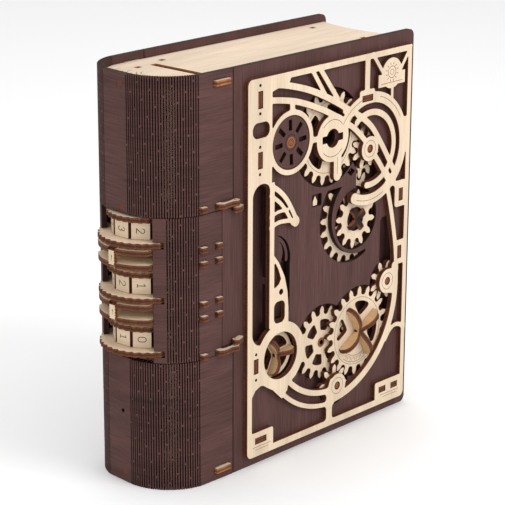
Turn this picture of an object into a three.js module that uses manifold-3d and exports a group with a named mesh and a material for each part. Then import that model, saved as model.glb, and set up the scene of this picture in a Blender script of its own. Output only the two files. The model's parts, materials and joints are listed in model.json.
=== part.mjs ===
// Laser-cut plywood puzzle book: a hinged front cover full of gears, and a
// round spine with three number wheels. Millimetres, +Z up, front cover at -Y,
// spine at -X. The book frame has X = 0 at the cover's hinge line and Y = 0
// in the middle of the thickness. The whole is then moved so that the origin
// lies under the middle of its bounding box, on the surface it stands on.
import * as THREE from 'three';
import { mergeVertices } from 'three/addons/utils/BufferGeometryUtils.js';
import Module from 'manifold-3d';

const wasm = await Module();
wasm.setup();
const { Manifold, Mesh: SolidMesh } = wasm;

// ---- driving dimensions ----------------------------------------------------
const PLY = 3;                 // plywood thickness
const GAP = 0.3;               // gap between pieces that touch
const HEIGHT = 230;            // covers and spine shells
const THICK = 70;              // outside of one cover to outside of the other
const COVER_W = 152;           // hinge line to fore edge
const SPINE_D = 49;            // hinge line to the back of the spine
const SPINE_R = 30;            // corner radius of the spine
const CAP_DROP = 4.5;          // end plates lie this far inside the covers
const FORE_EDGE_X = 149.5;     // fore edge beside the covers
const FORE_EDGE_HOLLOW = 5.7;  // how far the fore edge curves in
const FORE_EDGE_Y = 31.5;
const TAB_OUT = THICK / 2 + 2; // ribs' tabs stand this far out on both sides
const FLATNESS = 0.12;         // how far a facet may lie from the true curve
const PANEL_FLATNESS = 0.22;   // the same for the big flat panels

const SEAM_HI = 154.5;         // joints between the three spine sections
const SEAM_LO = 73.5;
const TAB_X = -8.4;            // the covers reach past the hinge line here
const TAB_Z = [77.2, 154.4];
const WINDOW_Y = 19.5;          // half width of the window for the wheels

const AXIS_X = -30.5;          // number wheels
const WHEEL_Z = [77.2, 107.6, 138.0];
const GRIP_R = 26.4;           // lower ring, turned with a finger
const TOP_RING_R = 21.6;
const TILE_FACE_R = 18.5;
const TILE_W = 10.3;
const TILE_H = 9.6;
const SHAFT_R = 3.4;
const SHAFT_HOLE_R = 3.47;
const KNOB_H = 6.2;            // knobs on the gears
const DIGITS = 10;

const HINGE = [0, -37.4];      // hinge axis, outside the cover's face
const PIN_R = 0.9;
const PIN_HOLE_R = 0.95;
const EYE_R = 2.1;

const COVER_Y = -THICK / 2;              // front cover's outer face
const LATTICE_Y = COVER_Y - PLY;
const GEAR_T = 2.6;                      // gears are thinner than the panel
const PLANE_1 = COVER_Y + 0.2;           // gears inside the panel's thickness
const PLANE_2 = COVER_Y + PLY + 0.3;     // gears behind the panel
const PLATE_Y = COVER_Y + 6.4;           // plate that carries the axles
const BOLT_Y = PLATE_Y + PLY + 0.4;

const MODULE = 2.5;                      // gears of the key's train
const MODULE_LOW = 2.47;                 // gears of the lower knob's train
const BACKLASH_GAP = 0.2;
const AXLE_R = 2.0;
const AXLE_HOLE_R = 2.07;
const KEY = [77.8, 178.6];
const IDLER = [110.7, 166.5];
const C_GEAR = [106.0, 56.9];
const TRI = [35.7, 61];
const DISC = [43, 182.5];
const TEETH = { key: 20, idlerSmall: 8, idlerBig: 13, wheel: 20, crown: 12,
  centre: 20, side: 8, back: 7, left: 16 };

const BROWN = 0x5a413d;
const LIGHT = 0xe6d3b4;
const TAN = 0xb07a45;

// ---- solids ------------------------------------------------------------------
function toSolid(geometry) {
  const bare = geometry.index ? geometry.toNonIndexed() : geometry.clone();
  bare.deleteAttribute('normal');
  bare.deleteAttribute('uv');
  const merged = mergeVertices(bare, 1e-4);
  return new Manifold(new SolidMesh({
    numProp: 3,
    vertProperties: new Float32Array(merged.attributes.position.array),
    triVerts: new Uint32Array(merged.index.array),
  }));
}

function toGeometry(solid) {
  const mesh = solid.getMesh();
  const geometry = new THREE.BufferGeometry();
  const flat = new Float32Array(mesh.numVert * 3);
  for (let i = 0; i < mesh.numVert; i += 1) {
    for (let k = 0; k < 3; k += 1) {
      flat[i * 3 + k] = mesh.vertProperties[i * mesh.numProp + k];
    }
  }
  geometry.setAttribute('position', new THREE.BufferAttribute(flat, 3));
  geometry.setIndex(new THREE.BufferAttribute(new Uint32Array(mesh.triVerts), 1));
  geometry.computeVertexNormals();
  return geometry;
}

const join = (...solids) => solids.flat().reduce((a, b) => a.add(b));
const cut = (solid, ...tools) => tools.flat().reduce((a, b) => a.subtract(b), solid);

// A plate lying in the cover's plane: outline in (x, z), from y0 to y1.
function coverPlate(shape, y0, y1, segments = 6) {
  const options = { depth: y1 - y0, bevelEnabled: false, curveSegments: segments };
  const geometry = new THREE.ExtrudeGeometry(shape, options);
  geometry.rotateX(Math.PI / 2);
  geometry.translate(0, y1, 0);
  return toSolid(geometry);
}

// A plate lying flat: outline in (x, y), from z0 to z1.
function flatPlate(shape, z0, z1, segments = 8) {
  const options = { depth: z1 - z0, bevelEnabled: false, curveSegments: segments };
  const geometry = new THREE.ExtrudeGeometry(shape, options);
  geometry.translate(0, 0, z0);
  return toSolid(geometry);
}

function box(x0, x1, y0, y1, z0, z1) {
  const geometry = new THREE.BoxGeometry(x1 - x0, y1 - y0, z1 - z0);
  geometry.translate((x0 + x1) / 2, (y0 + y1) / 2, (z0 + z1) / 2);
  return toSolid(geometry);
}

function rodZ(x, y, r, z0, z1, sides = 16) {
  const geometry = new THREE.CylinderGeometry(r, r, z1 - z0, sides);
  geometry.rotateX(Math.PI / 2);
  geometry.translate(x, y, (z0 + z1) / 2);
  return toSolid(geometry);
}

function rodY(x, z, r, y0, y1, sides = 16) {
  const geometry = new THREE.CylinderGeometry(r, r, y1 - y0, sides);
  geometry.translate(x, (y0 + y1) / 2, z);
  return toSolid(geometry);
}

// ---- outlines ----------------------------------------------------------------
function polygon(points) {
  const shape = new THREE.Shape();
  points.forEach(([a, b], i) => (i ? shape.lineTo(a, b) : shape.moveTo(a, b)));
  shape.closePath();
  return shape;
}

function roundRect(x0, x1, z0, z1, r) {
  const shape = new THREE.Shape();
  shape.moveTo(x0 + r, z0);
  shape.lineTo(x1 - r, z0);
  shape.absarc(x1 - r, z0 + r, r, -Math.PI / 2, 0);
  shape.lineTo(x1, z1 - r);
  shape.absarc(x1 - r, z1 - r, r, 0, Math.PI / 2);
  shape.lineTo(x0 + r, z1);
  shape.absarc(x0 + r, z1 - r, r, Math.PI / 2, Math.PI);
  shape.lineTo(x0, z0 + r);
  shape.absarc(x0 + r, z0 + r, r, Math.PI, 1.5 * Math.PI);
  return shape;
}

function disc(x, z, r, sides = 24) {
  const points = [];
  for (let i = 0; i < sides; i += 1) {
    const a = (2 * Math.PI * i) / sides;
    points.push([x + r * Math.cos(a), z + r * Math.sin(a)]);
  }
  return polygon(points);
}

// Ring sector between two radii, angles in degrees counted from +x.
function arcBand(x, z, r0, r1, from, to, step = 10) {
  const n = Math.max(2, Math.ceil(Math.abs(to - from) / step));
  const points = [];
  for (let i = 0; i <= n; i += 1) {
    const a = THREE.MathUtils.degToRad(from + ((to - from) * i) / n);
    points.push([x + r1 * Math.cos(a), z + r1 * Math.sin(a)]);
  }
  for (let i = n; i >= 0; i -= 1) {
    const a = THREE.MathUtils.degToRad(from + ((to - from) * i) / n);
    points.push([x + r0 * Math.cos(a), z + r0 * Math.sin(a)]);
  }
  if (to < from) {
    points.reverse();
  }
  return polygon(points);
}

// Outline of a line of constant width through the given points.
function strokeOutline(line, width) {
  const left = [];
  const right = [];
  line.forEach((p, i) => {
    const a = line[Math.max(i - 1, 0)];
    const b = line[Math.min(i + 1, line.length - 1)];
    const d = new THREE.Vector2(b[0] - a[0], b[1] - a[1]).normalize();
    left.push([p[0] - (d.y * width) / 2, p[1] + (d.x * width) / 2]);
    right.push([p[0] + (d.y * width) / 2, p[1] - (d.x * width) / 2]);
  });
  return polygon(right.concat(left.reverse()));
}

// Involute-like gear: pointed teeth with wide gaps, one tooth at angle phase.
function gearOutline([x, z], teeth, phaseDeg, module) {
  const pitch = (module * teeth) / 2;
  const root = pitch - 1.3 * module;
  const tip = pitch + 0.95 * module;
  const step = (2 * Math.PI) / teeth;
  const profile = [
    [-0.34, root], [-0.19, pitch], [-0.07, tip], [0.07, tip], [0.19, pitch], [0.34, root],
  ];
  const points = [];
  for (let i = 0; i < teeth; i += 1) {
    for (const [part, r] of profile) {
      const a = THREE.MathUtils.degToRad(phaseDeg) + (i + part) * step;
      points.push([x + r * Math.cos(a), z + r * Math.sin(a)]);
    }
  }
  return polygon(points);
}

const direction = (from, to) => THREE.MathUtils.radToDeg(
  Math.atan2(to[1] - from[1], to[0] - from[0]));

// Phase of a gear that meshes with another one whose phase is known: the
// driven gear has the middle of a gap where the driver has a tooth.
function meshPhase(driver, driverTeeth, driverPhase, driven, drivenTeeth) {
  const toDriven = direction(driver, driven);
  const offset = (toDriven - driverPhase) / (360 / driverTeeth);
  return toDriven + 180 + (offset + 0.5) * (360 / drivenTeeth);
}

// Centre of the gear that meshes with the one at `from`, in the given direction.
function meshCentre(from, teethA, teethB, degrees, module = MODULE) {
  const r = (module * (teethA + teethB)) / 2 + BACKLASH_GAP;
  const a = THREE.MathUtils.degToRad(degrees);
  return [from[0] + r * Math.cos(a), from[1] + r * Math.sin(a)];
}

// Wedge-shaped windows between the spokes of a gear.
function windows([x, z], count, r0, r1, spokeDeg, turn, y0, y1) {
  const list = [];
  for (let i = 0; i < count; i += 1) {
    const mid = turn + (360 * i) / count;
    const half = 180 / count - spokeDeg / 2;
    const shape = arcBand(x, z, r0, r1, mid - half, mid + half, 20);
    list.push(coverPlate(shape, y0 - 1, y1 + 1));
  }
  return list;
}

// ---- named pieces --------------------------------------------------------------
const book = new THREE.Group();
const xMin = AXIS_X - GRIP_R;
const yMin = PLANE_1 - 0.2 - KNOB_H;
book.position.set(-(xMin + COVER_W) / 2, -(yMin + TAB_OUT) / 2, 0);

function piece(name, body, colour, roughness = 0.75, flatness = FLATNESS) {
  const solid = body.asOriginal().simplify(flatness);
  const material = new THREE.MeshStandardMaterial({ color: colour, roughness, metalness: 0 });
  const mesh = new THREE.Mesh(toGeometry(solid), material);
  mesh.name = name;
  book.add(mesh);
}

// ---- spine -----------------------------------------------------------------
// Half outline of the spine at an inset, from the hinge line round to y = 0.
function spineSide(inset, xEnd) {
  const r = SPINE_R - inset;
  const cx = -(SPINE_D - SPINE_R);
  const cy = THICK / 2 - SPINE_R;
  const points = [[xEnd, -(THICK / 2 - inset)]];
  const n = 8;
  for (let i = 0; i <= n; i += 1) {
    const a = (Math.PI / 2) * (i / n);
    points.push([cx - r * Math.sin(a), -(cy + r * Math.cos(a))]);
  }
  return points;
}

function mirrored(points) {
  return points.map(([x, y]) => [x, -y]).reverse();
}

// Closed outline of everything inside the spine's shell, to a straight front.
function spineFill(inset, xEnd) {
  const side = spineSide(inset, xEnd);
  return polygon(side.concat(mirrored(side)).reverse());
}

function shellRing(xEnd, z0, z1) {
  const outer = flatPlate(spineFill(0, xEnd), z0, z1);
  const inner = flatPlate(spineFill(PLY, xEnd + 5), z0 - 1, z1 + 1);
  return cut(outer, inner);
}

const capLow = [CAP_DROP, CAP_DROP + PLY];
const capHigh = [HEIGHT - CAP_DROP - PLY, HEIGHT - CAP_DROP];
const ribHigh = [156, 159];
const ribLow = [73.7, 76.7];
const separators = [];
for (let i = 1; i < 3; i += 1) {
  separators.push([WHEEL_Z[i] - 4, WHEEL_Z[i] - 1]);
  separators.push([WHEEL_Z[i] - 12, WHEEL_Z[i] - 9]);
}

// A tab on a rib and the slot it goes through, on both sides of the spine.
function ribTabs(x0, x1, z) {
  return [-1, 1].map((s) => box(x0, x1, Math.min(s * 28, s * TAB_OUT),
    Math.max(s * 28, s * TAB_OUT), z[0], z[1]));
}
function ribSlots(x0, x1, z) {
  return [-1, 1].map((s) => box(x0 - GAP, x1 + GAP, Math.min(s * 28, s * 40),
    Math.max(s * 28, s * 40), z[0] - GAP, z[1] + GAP));
}
const PEGS = [[-25.1, -20.9], [-13.6, -9.4]];
const CAP_TAB = [-14.5, -3.2];

const shellUpper = cut(shellRing(-0.2, SEAM_HI + 0.2, HEIGHT),
  ribSlots(...CAP_TAB, capHigh), ribSlots(...PEGS[0], ribHigh), ribSlots(...PEGS[1], ribHigh));
piece('spine_shell_upper', shellUpper, BROWN);
const tongues = [-1, 1].map((s) => box(TAB_X, -0.2, Math.min(s * (THICK / 2 - PLY), s * THICK / 2),
  Math.max(s * (THICK / 2 - PLY), s * THICK / 2), SEAM_LO - 2, TAB_Z[0] - GAP));
const shellLower = cut(join(shellRing(-0.2, 0, SEAM_LO - 0.2), tongues),
  ribSlots(...CAP_TAB, capLow));
piece('spine_shell_lower', shellLower, BROWN);

const midRing = shellRing(TAB_X - 0.3, SEAM_LO + 0.1, SEAM_HI - 0.1);
const window_ = box(-70, -30, -WINDOW_Y, WINDOW_Y, 0, HEIGHT);
const midSlots = separators.concat([ribLow]).flatMap((z) => PEGS.flatMap((p) => ribSlots(...p, z)));
// The wheels' grip rings and the separators come out through the shell.
const ringSlots = WHEEL_Z.map((z) => flatPlate(disc(AXIS_X, 0, GRIP_R + 0.5, 32), z - 0.4, z + PLY + 0.3));
const middle = cut(midRing, window_, midSlots, ringSlots);
const frontHalf = box(-80, 20, -60, 0, 0, HEIGHT);
piece('spine_shell_middle_front', middle.intersect(frontHalf), BROWN);
piece('spine_shell_middle_back', middle.subtract(frontHalf), BROWN);

// Ribs fill the shell's inside, with a notch where the cover's tab swings in.
function rib(z, xEnd) {
  const plate = flatPlate(spineFill(PLY + GAP, xEnd), z[0], z[1]);
  const hole = rodZ(AXIS_X, 0, SHAFT_R + 0.2, z[0] - 1, z[1] + 1);
  return cut(plate, hole);
}
const RIB_X = -9.2;

// Eye of the hinge on a rib: an S-shaped arm outside the shell.
function hook(z) {
  const arm = polygon([[-13.6, -30], [-13.6, -37.6], [-11.5, -39.3], [-8, -39.2],
    [-4, -38.6], [-1.2, -39.2], [0, -39.4], [0, -35.5], [-1.6, -35.6], [-4.5, -36.3],
    [-7.5, -36.5], [-9.4, -35.9], [-9.4, -30]]);
  const eye = rodZ(HINGE[0], HINGE[1], EYE_R, z[0], z[1]);
  return join(flatPlate(arm, z[0], z[1]), eye);
}
const pinHole = (z) => rodZ(HINGE[0], HINGE[1], PIN_HOLE_R, z[0] - 1, z[1] + 1, 12);

const backTabs = (p, z) => ribTabs(...p, z)[1];
piece('rib_upper', cut(join(rib(ribHigh, RIB_X), ribTabs(...PEGS[0], ribHigh),
  backTabs(PEGS[1], ribHigh), hook(ribHigh)), pinHole(ribHigh)), LIGHT);
piece('rib_lower', cut(join(rib(ribLow, RIB_X), ribTabs(...PEGS[0], ribLow),
  backTabs(PEGS[1], ribLow), hook(ribLow)), pinHole(ribLow)), LIGHT);

// Separators stick out through the window, as far as the wheels' grip rings.
separators.forEach((z, i) => {
  const inside = rib(z, RIB_X);
  const lipDisc = flatPlate(disc(AXIS_X, 0, GRIP_R, 36), z[0], z[1]);
  const lip = lipDisc.intersect(box(-70, AXIS_X - 8, -WINDOW_Y + GAP, WINDOW_Y - GAP, 0, HEIGHT));
  const plate = cut(join(inside, lip, PEGS.flatMap((p) => ribTabs(...p, z))),
    rodZ(AXIS_X, 0, SHAFT_R + 0.2, z[0] - 1, z[1] + 1));
  const upper = i % 2 === 0;
  const slotZ = upper ? [z[0] - 1, z[1] - 1.2] : [z[0] + 1.2, z[1] + 1];
  const markerSlot = box(AXIS_X - GRIP_R - 1, AXIS_X - GRIP_R + 2.5, -2.8, 2.8, ...slotZ);
  piece(`separator_${i + 1}`, cut(plate, markerSlot), LIGHT);
});

// Index markers stand between each pair of separators.
for (let i = 0; i < 2; i += 1) {
  const zTop = separators[2 * i][0];
  const zBottom = separators[2 * i + 1][1];
  const x = AXIS_X - GRIP_R;
  const marker = box(x, x + 2.2, -2.5, 2.5, zBottom - 1.5, zTop + 1.5);
  piece(`index_marker_${i + 1}`, marker, LIGHT);
}

// End plates: one piece each, from the spine's round end to the fore edge.
function foreEdge(inset) {
  const points = [];
  const n = 8;
  for (let i = 0; i <= n; i += 1) {
    const y = -FORE_EDGE_Y + (2 * FORE_EDGE_Y * i) / n;
    const hollow = FORE_EDGE_HOLLOW * (1 - (y / FORE_EDGE_Y) ** 2);
    points.push([FORE_EDGE_X - inset - hollow, y]);
  }
  return points;
}
function endPlate(z) {
  const side = spineSide(PLY + GAP, -3);
  const outline = side.reverse().concat([[FORE_EDGE_X, -THICK / 2 + PLY + GAP]],
    foreEdge(0), [[FORE_EDGE_X, THICK / 2 - PLY - GAP]]);
  const back = mirrored(side);
  const plate = flatPlate(polygon(outline.concat(back)), z[0], z[1]);
  const wallSlot = box(-8.6, -5.4, -17.4, 17.4, z[0] - 1, z[1] + 1);
  const tabSlots = [[130.1, 23.7], [127.7, -17.4], [-18.6, 17.5], [3.7, 21.9]].map(
    ([x, y]) => box(x - 2, x + 2, y - 1.6, y + 1.6, z[0] - 1, z[1] + 1));
  return cut(join(plate, ribTabs(...CAP_TAB, z)), wallSlot, tabSlots);
}
piece('end_plate_top', endPlate(capHigh), LIGHT);
piece('end_plate_bottom', endPlate(capLow), LIGHT);

// Wall between the spine and the storage space, with a notch for the cover's tab.
const wallBody = box(-8.4, -5.6, -FORE_EDGE_Y, FORE_EDGE_Y, capLow[1] + GAP, capHigh[0] - GAP);
const wallTabs = box(-8.4, -5.6, -17.1, 17.1, capLow[0] + 1.5, capHigh[1] - 1.5);
const tabNotch = box(-20, 0, -40, -27, TAB_Z[0] - 6, TAB_Z[1] + 6);
piece('spine_wall', cut(join(wallBody, wallTabs), tabNotch, ringSlots), LIGHT);

const foreOuter = foreEdge(0.3);
const foreInner = foreEdge(PLY + 0.3).reverse();
const BOLT_Z = [47.8, 52.8];
const foreWall = flatPlate(polygon(foreOuter.concat(foreInner)), capLow[1] + GAP, capHigh[0] - GAP);
const keeper = box(130, 160, BOLT_Y - 0.6, BOLT_Y + PLY + 0.6, BOLT_Z[0] - 0.6, BOLT_Z[1] + 0.6);
piece('fore_edge_wall', cut(foreWall, keeper), LIGHT);

// ---- covers ------------------------------------------------------------------
function coverOutline() {
  const r = 4;
  const shape = new THREE.Shape();
  shape.moveTo(0.3, 0);
  shape.lineTo(COVER_W - r, 0);
  shape.absarc(COVER_W - r, r, r, -Math.PI / 2, 0);
  shape.lineTo(COVER_W, HEIGHT - r);
  shape.absarc(COVER_W - r, HEIGHT - r, r, 0, Math.PI / 2);
  shape.lineTo(0.3, HEIGHT);
  shape.lineTo(0.3, TAB_Z[1]);
  shape.lineTo(TAB_X, TAB_Z[1]);
  shape.lineTo(TAB_X, TAB_Z[0]);
  shape.lineTo(0.3, TAB_Z[0]);
  shape.closePath();
  return shape;
}
piece('back_cover', coverPlate(coverOutline(), THICK / 2 - PLY, THICK / 2), BROWN);

// Number wheels: shaft, and for each wheel two rings and a drum of flat tiles.
piece('wheel_shaft', rodZ(AXIS_X, 0, SHAFT_R, ribLow[0] + 0.5, ribHigh[1] - 0.5, 16), TAN);
WHEEL_Z.forEach((z, i) => {
  const ringT = PLY - 0.1;
  const bore = (z0, z1) => rodZ(AXIS_X, 0, SHAFT_HOLE_R, z0 - 1, z1 + 1, 16);
  const grip = flatPlate(disc(AXIS_X, 0, GRIP_R, 32), z, z + ringT);
  piece(`wheel_${i + 1}_grip_ring`, cut(grip, bore(z, z + ringT)), LIGHT);
  const zTile = z + PLY;
  const core = flatPlate(disc(AXIS_X, 0, TILE_FACE_R - PLY, 20), zTile, zTile + TILE_H);
  const tiles = [];
  for (let k = 0; k < DIGITS; k += 1) {
    const tile = new THREE.BoxGeometry(PLY + 1, TILE_W, TILE_H);
    tile.translate(TILE_FACE_R - PLY / 2 - 0.5, 0, zTile + TILE_H / 2);
    tile.rotateZ(Math.PI + k * (2 * Math.PI / DIGITS));
    tile.translate(AXIS_X, 0, 0);
    tiles.push(toSolid(tile));
  }
  const drum = cut(join(core, tiles), bore(zTile, zTile + TILE_H));
  piece(`wheel_${i + 1}_digit_drum`, drum, LIGHT);
  const zTop = zTile + TILE_H + 0.1;
  const top = flatPlate(disc(AXIS_X, 0, TOP_RING_R, 28), zTop, zTop + ringT);
  piece(`wheel_${i + 1}_top_ring`, cut(top, bore(zTop, zTop + ringT)), LIGHT);
});

// ---- front cover: panel --------------------------------------------------------
const idlerToWheel = direction(IDLER, [102.5, 125.9]);
const WHEEL = meshCentre(IDLER, TEETH.idlerBig, TEETH.wheel, idlerToWheel);
const SIDE_LOW = meshCentre(C_GEAR, TEETH.centre, TEETH.side, direction(C_GEAR, [85, 28.7]),
  MODULE_LOW);
const SIDE_HIGH = meshCentre(C_GEAR, TEETH.centre, TEETH.side, direction(C_GEAR, [129.1, 82.2]),
  MODULE_LOW);
const LEFT = meshCentre(C_GEAR, TEETH.back, TEETH.left, 181, MODULE_LOW);
const KEY_GEAR = [IDLER[0] - 35.2 * Math.cos(0.352), IDLER[1] + 35.2 * Math.sin(0.352)];

const through = (shape) => coverPlate(shape, COVER_Y - 1, COVER_Y + PLY + 1);
const ARC = [79.5, 79];        // centre of the lattice's big arc
const lowerWell = join(
  through(disc(...C_GEAR, 27.4, 44)),
  through(disc(LEFT[0] - 3.2, LEFT[1] + 1.4, 23, 36)),
  through(disc(...SIDE_HIGH, 12.7, 24)),
  through(disc(...SIDE_LOW, 12.7, 24)),
  through(arcBand(...C_GEAR, 20, 33.5, -95, 35)).intersect(through(disc(...ARC, 58, 60))),
  through(roundRect(54, 104, 20, 57, 3)).intersect(through(disc(...ARC, 51.5, 60))),
);
// The large gear shows in a crescent, past the edge of the ring round the crown gear.
const crescent = cut(through(disc(99, 129.1, 27.95, 44)), through(disc(105.5, 129, 24, 40)),
  through(polygon([[60, 147.5], [140, 147.5], [140, 180], [60, 180]])),
  through(polygon([[112, 90], [140, 90], [140, 160], [112, 160]])));
const panelCuts = [
  lowerWell,
  crescent,
  through(disc(77.3, 178.8, 28.3, 44)),
  through(disc(...IDLER, 13)),
  through(roundRect(102.6, 122, 141.5, 161, 2)),
  through(polygon([[97.8, 157.2], [94.4, 155], [97.9, 152.4], [101.4, 154.8]])),
  through(disc(102.9, 126.1, 18.15, 32)),
  through(roundRect(64.4, 72.4, 140.6, 147.6, 1)),
  through(disc(...TRI, 14.6)),
  through(roundRect(13.5, 26.5, 73, 162, 5)),
  through(roundRect(125.2, 136.8, 86, 121.8, 3)),
  cut(join(through(roundRect(29.5, 46, 82, 120, 4)), through(disc(32, 117, 14, 28))),
    through(disc(30.5, 120, 9.5)), through(polygon([[16, 100], [30.5, 110.5], [30.5, 129.5],
      [16, 134]]))),
];
const hubHole = (c) => rodY(c[0], c[1], AXLE_R + 0.3, COVER_Y - 1, COVER_Y + PLY + 1);

// Rails behind the panel; their tabs come through the panel and the lattice.
const RAIL_BACK = BOLT_Y + PLY;
const TAB_FRONT = LATTICE_Y + 0.3;
const rails = {
  rail_left: { x: [16.7, 19.7], z: [168, 219], tabs: [[205.9, 214.7], [172.7, 181.3]] },
  rail_left_low: { x: [14.0, 17.0], z: [51, 69], tabs: [[55.7, 63.7]] },
  rail_right: { x: [138.4, 141.4], z: [44, 141], tabs: [[130.3, 137.2], [94.8, 102]] },
  rail_top: { z: [195, 198], x: [96, 119], tabs: [[103.3, 112]], flat: true },
  rail_bottom: { z: [13.6, 16.6], x: [11, 143],
    tabs: [[15.3, 23.9], [124.1, 129.7], [135.3, 140.7]], flat: true },
};
function railBox(rail, y0, y1, clearance = 0) {
  return rail.tabs.map(([a, b]) => {
    const lo = a - clearance;
    const hi = b + clearance;
    const x = rail.flat ? [lo, hi] : [rail.x[0] - clearance, rail.x[1] + clearance];
    const z = rail.flat ? [rail.z[0] - clearance, rail.z[1] + clearance] : [lo, hi];
    return box(...x, y0, y1, ...z);
  });
}
const railSlots = Object.values(rails).flatMap((r) => railBox(r, LATTICE_Y - 1, PLATE_Y + 8, GAP));

const panel = cut(coverPlate(coverOutline(), COVER_Y, COVER_Y + PLY), panelCuts, railSlots,
  hubHole(DISC), [[TAB_Z[0] - 0.1, 80.4], [152.0, 155.3]].map((z) => box(2.2, 6.4, -42, -20, ...z)));
piece('front_cover_panel', panel, BROWN, 0.75, PANEL_FLATNESS);

// Lugs carry the cover on the two hinge pins.
function lug(z) {
  const arm = polygon([[0, -39.4], [3.2, -38.9], [6.1, -37.4], [6.1, -29], [2.5, -29],
    [2.5, -35.4], [0, -35.4]]);
  const plate = join(flatPlate(arm, z[0], z[1]), rodZ(HINGE[0], HINGE[1], EYE_R, z[0], z[1]));
  return cut(plate, pinHole(z));
}
piece('cover_lug_upper', lug([152.3, 155.0]), TAN);
piece('cover_lug_lower', lug([77.4, 80.1]), TAN);
const pin = (z0, z1) => rodZ(HINGE[0], HINGE[1], PIN_R, z0, z1, 12);
piece('hinge_pin_upper', pin(151.8, 159.5), TAN, 0.5);
piece('hinge_pin_lower', pin(73.2, 80.6), TAN, 0.5);

// ---- front cover: lattice --------------------------------------------------------
const lat = (shape) => coverPlate(shape, LATTICE_Y, COVER_Y - 0.1);
const hole = (shape) => coverPlate(shape, LATTICE_Y - 1, COVER_Y + 1);
const bar = (points, width) => lat(strokeOutline(points, width));

const beamUpper = [[28, 217], [41, 214.4], [50, 212.1], [60, 208.6], [70, 204], [80, 199], [92, 192.6]];
const beamLower = [[26, 208.6], [36, 207.1], [50, 203.7], [60, 200.3], [70, 195.9], [80, 190.8],
  [88, 186.6]];
const frame = cut(lat(roundRect(8.4, 147, 5.8, 222.2, 3.4)), hole(roundRect(27.6, 143.5, 9.9, 218.6, 1)));
const bars = [
  lat(polygon([[26, 120], [29.7, 120], [29.7, 166], [26, 166]])),
  bar(beamUpper, 3.7),
  bar(beamLower, 3.6),
  lat(polygon([[27, 212.4], [41.3, 216.4], [43.5, 219], [27, 219]])),
  bar([[61, 219.5], [69.5, 206.5]], 2.8),
  bar([[67, 219.5], [81, 201.5]], 3.3),
  lat(polygon([[42, 198], [46, 198], [45.6, 206.5], [41.6, 206.5]])),
  lat(polygon([[105, 199], [109.6, 199], [109.6, 219], [105, 219]])),
  lat(roundRect(100.5, 114, 193.4, 201.6, 1.6)),
  lat(arcBand(...IDLER, 26.7, 33.2, 146, -116)),
  lat(arcBand(...IDLER, 19.4, 23.2, 126, -96)),
  lat(disc(97.9, 139.6, 3.25, 12)),
  lat(disc(108.6, 145.2, 1.9, 10)),
  lat(disc(...IDLER, 7.4)),
  bar([[88, 192.5], [98, 189], [106, 184], [113, 178], [121, 167.5], [128, 157], [134, 147.5]], 3.7),
  bar([[84, 187.5], [93, 183.2], [100, 178], [107, 171.3]], 3.5),
  bar([[115, 162], [121, 154.4], [128, 144.5]], 3.5),
  lat(disc(KEY[0], KEY[1], 13.6, 36)),
  lat(roundRect(79, 85.4, 153.3, 171, 3)),
  bar([[57, 180.6], [67, 180.6]], 3.4),
  lat(disc(...DISC, 18.2, 40)),
  lat(roundRect(117, 141, 200.5, 208.3, 0.6)),
  lat(disc(129, 207.8, 8.9, 28)),
  bar([[112.5, 219.5], [121.5, 208.5]], 2.5),
  bar([[145.5, 219.5], [136.5, 208.5]], 2.5),
  bar([[129.6, 202], [129.6, 192]], 2.5),
  lat(polygon([[136.5, 181], [144, 181], [144, 158.6], [137.5, 158.6]])),
  lat(roundRect(134.2, 146, 126.3, 142.4, 2.4)),
  lat(polygon([[137, 91], [146, 91], [146, 106], [137, 106]])),
  bar([[127.5, 140], [131, 127], [134.4, 113], [136.4, 101], [137.6, 89]], 3.5),
  bar([[129, 146], [136, 140.5], [141, 140.5]], 3.2),
  lat(disc(...SIDE_HIGH, 7.4)),
  lat(polygon([[130, 89.6], [139.8, 91], [139.2, 78], [136, 73], [130, 75]])),
  lat(arcBand(...ARC, 54.9, 59.6, -88, 12, 6)),
  lat(arcBand(...ARC, 57.5, 60.4, -90, -146, 7)),
  lat(arcBand(...ARC, 49.3, 52.8, -88, -137, 7)),
  lat(disc(...SIDE_LOW, 7.4)),
  lat(polygon([[75.7, 8], [80.9, 8], [80.9, 24], [88, 24], [79, 36], [78, 30], [75.7, 28]])),
  lat(disc(TRI[0], TRI[1], 19.8, 44)),
  lat(polygon([[26, 121.5], [29.7, 121.5], [33.8, 116], [38.6, 107], [41, 98], [42, 88],
    [42, 79], [26, 79]])),
  lat(polygon([[10, 66], [28, 66], [30, 50], [21, 47.3], [15.5, 46.4], [12.6, 43.5],
    [12, 40], [10, 40]])),
  lat(polygon([[21, 48], [26.2, 45.2], [31, 40.2], [37, 34.6], [41.5, 38.6], [42.6, 43.4],
    [49, 46], [40, 50], [25, 52]])),
  bar([[28, 160.2], [33, 157.4], [38.5, 152.4], [43, 146.2], [46.6, 140], [48.4, 136.6]], 3.1),
  bar([[28, 155], [34, 150.4], [39.4, 144.4], [44.6, 136.8]], 2.4),
  lat(disc(47.3, 136.8, 3.1, 14)),
  bar([[28, 144.7], [40.6, 145]], 2),
  bar([[28, 138.7], [44.5, 138.2]], 2.6),
  lat(polygon([[10, 8], [30, 8], [30, 18.6], [28.4, 20.4], [10, 20.4]])),
  lat(polygon([[120, 8], [145, 8], [145, 20.4], [121.6, 20.4], [120, 18.6]])),
  bar([[129.5, 47.5], [133, 51.3], [136.6, 53.1], [140.4, 53.1], [145, 51]], 2.6),
];
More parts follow.
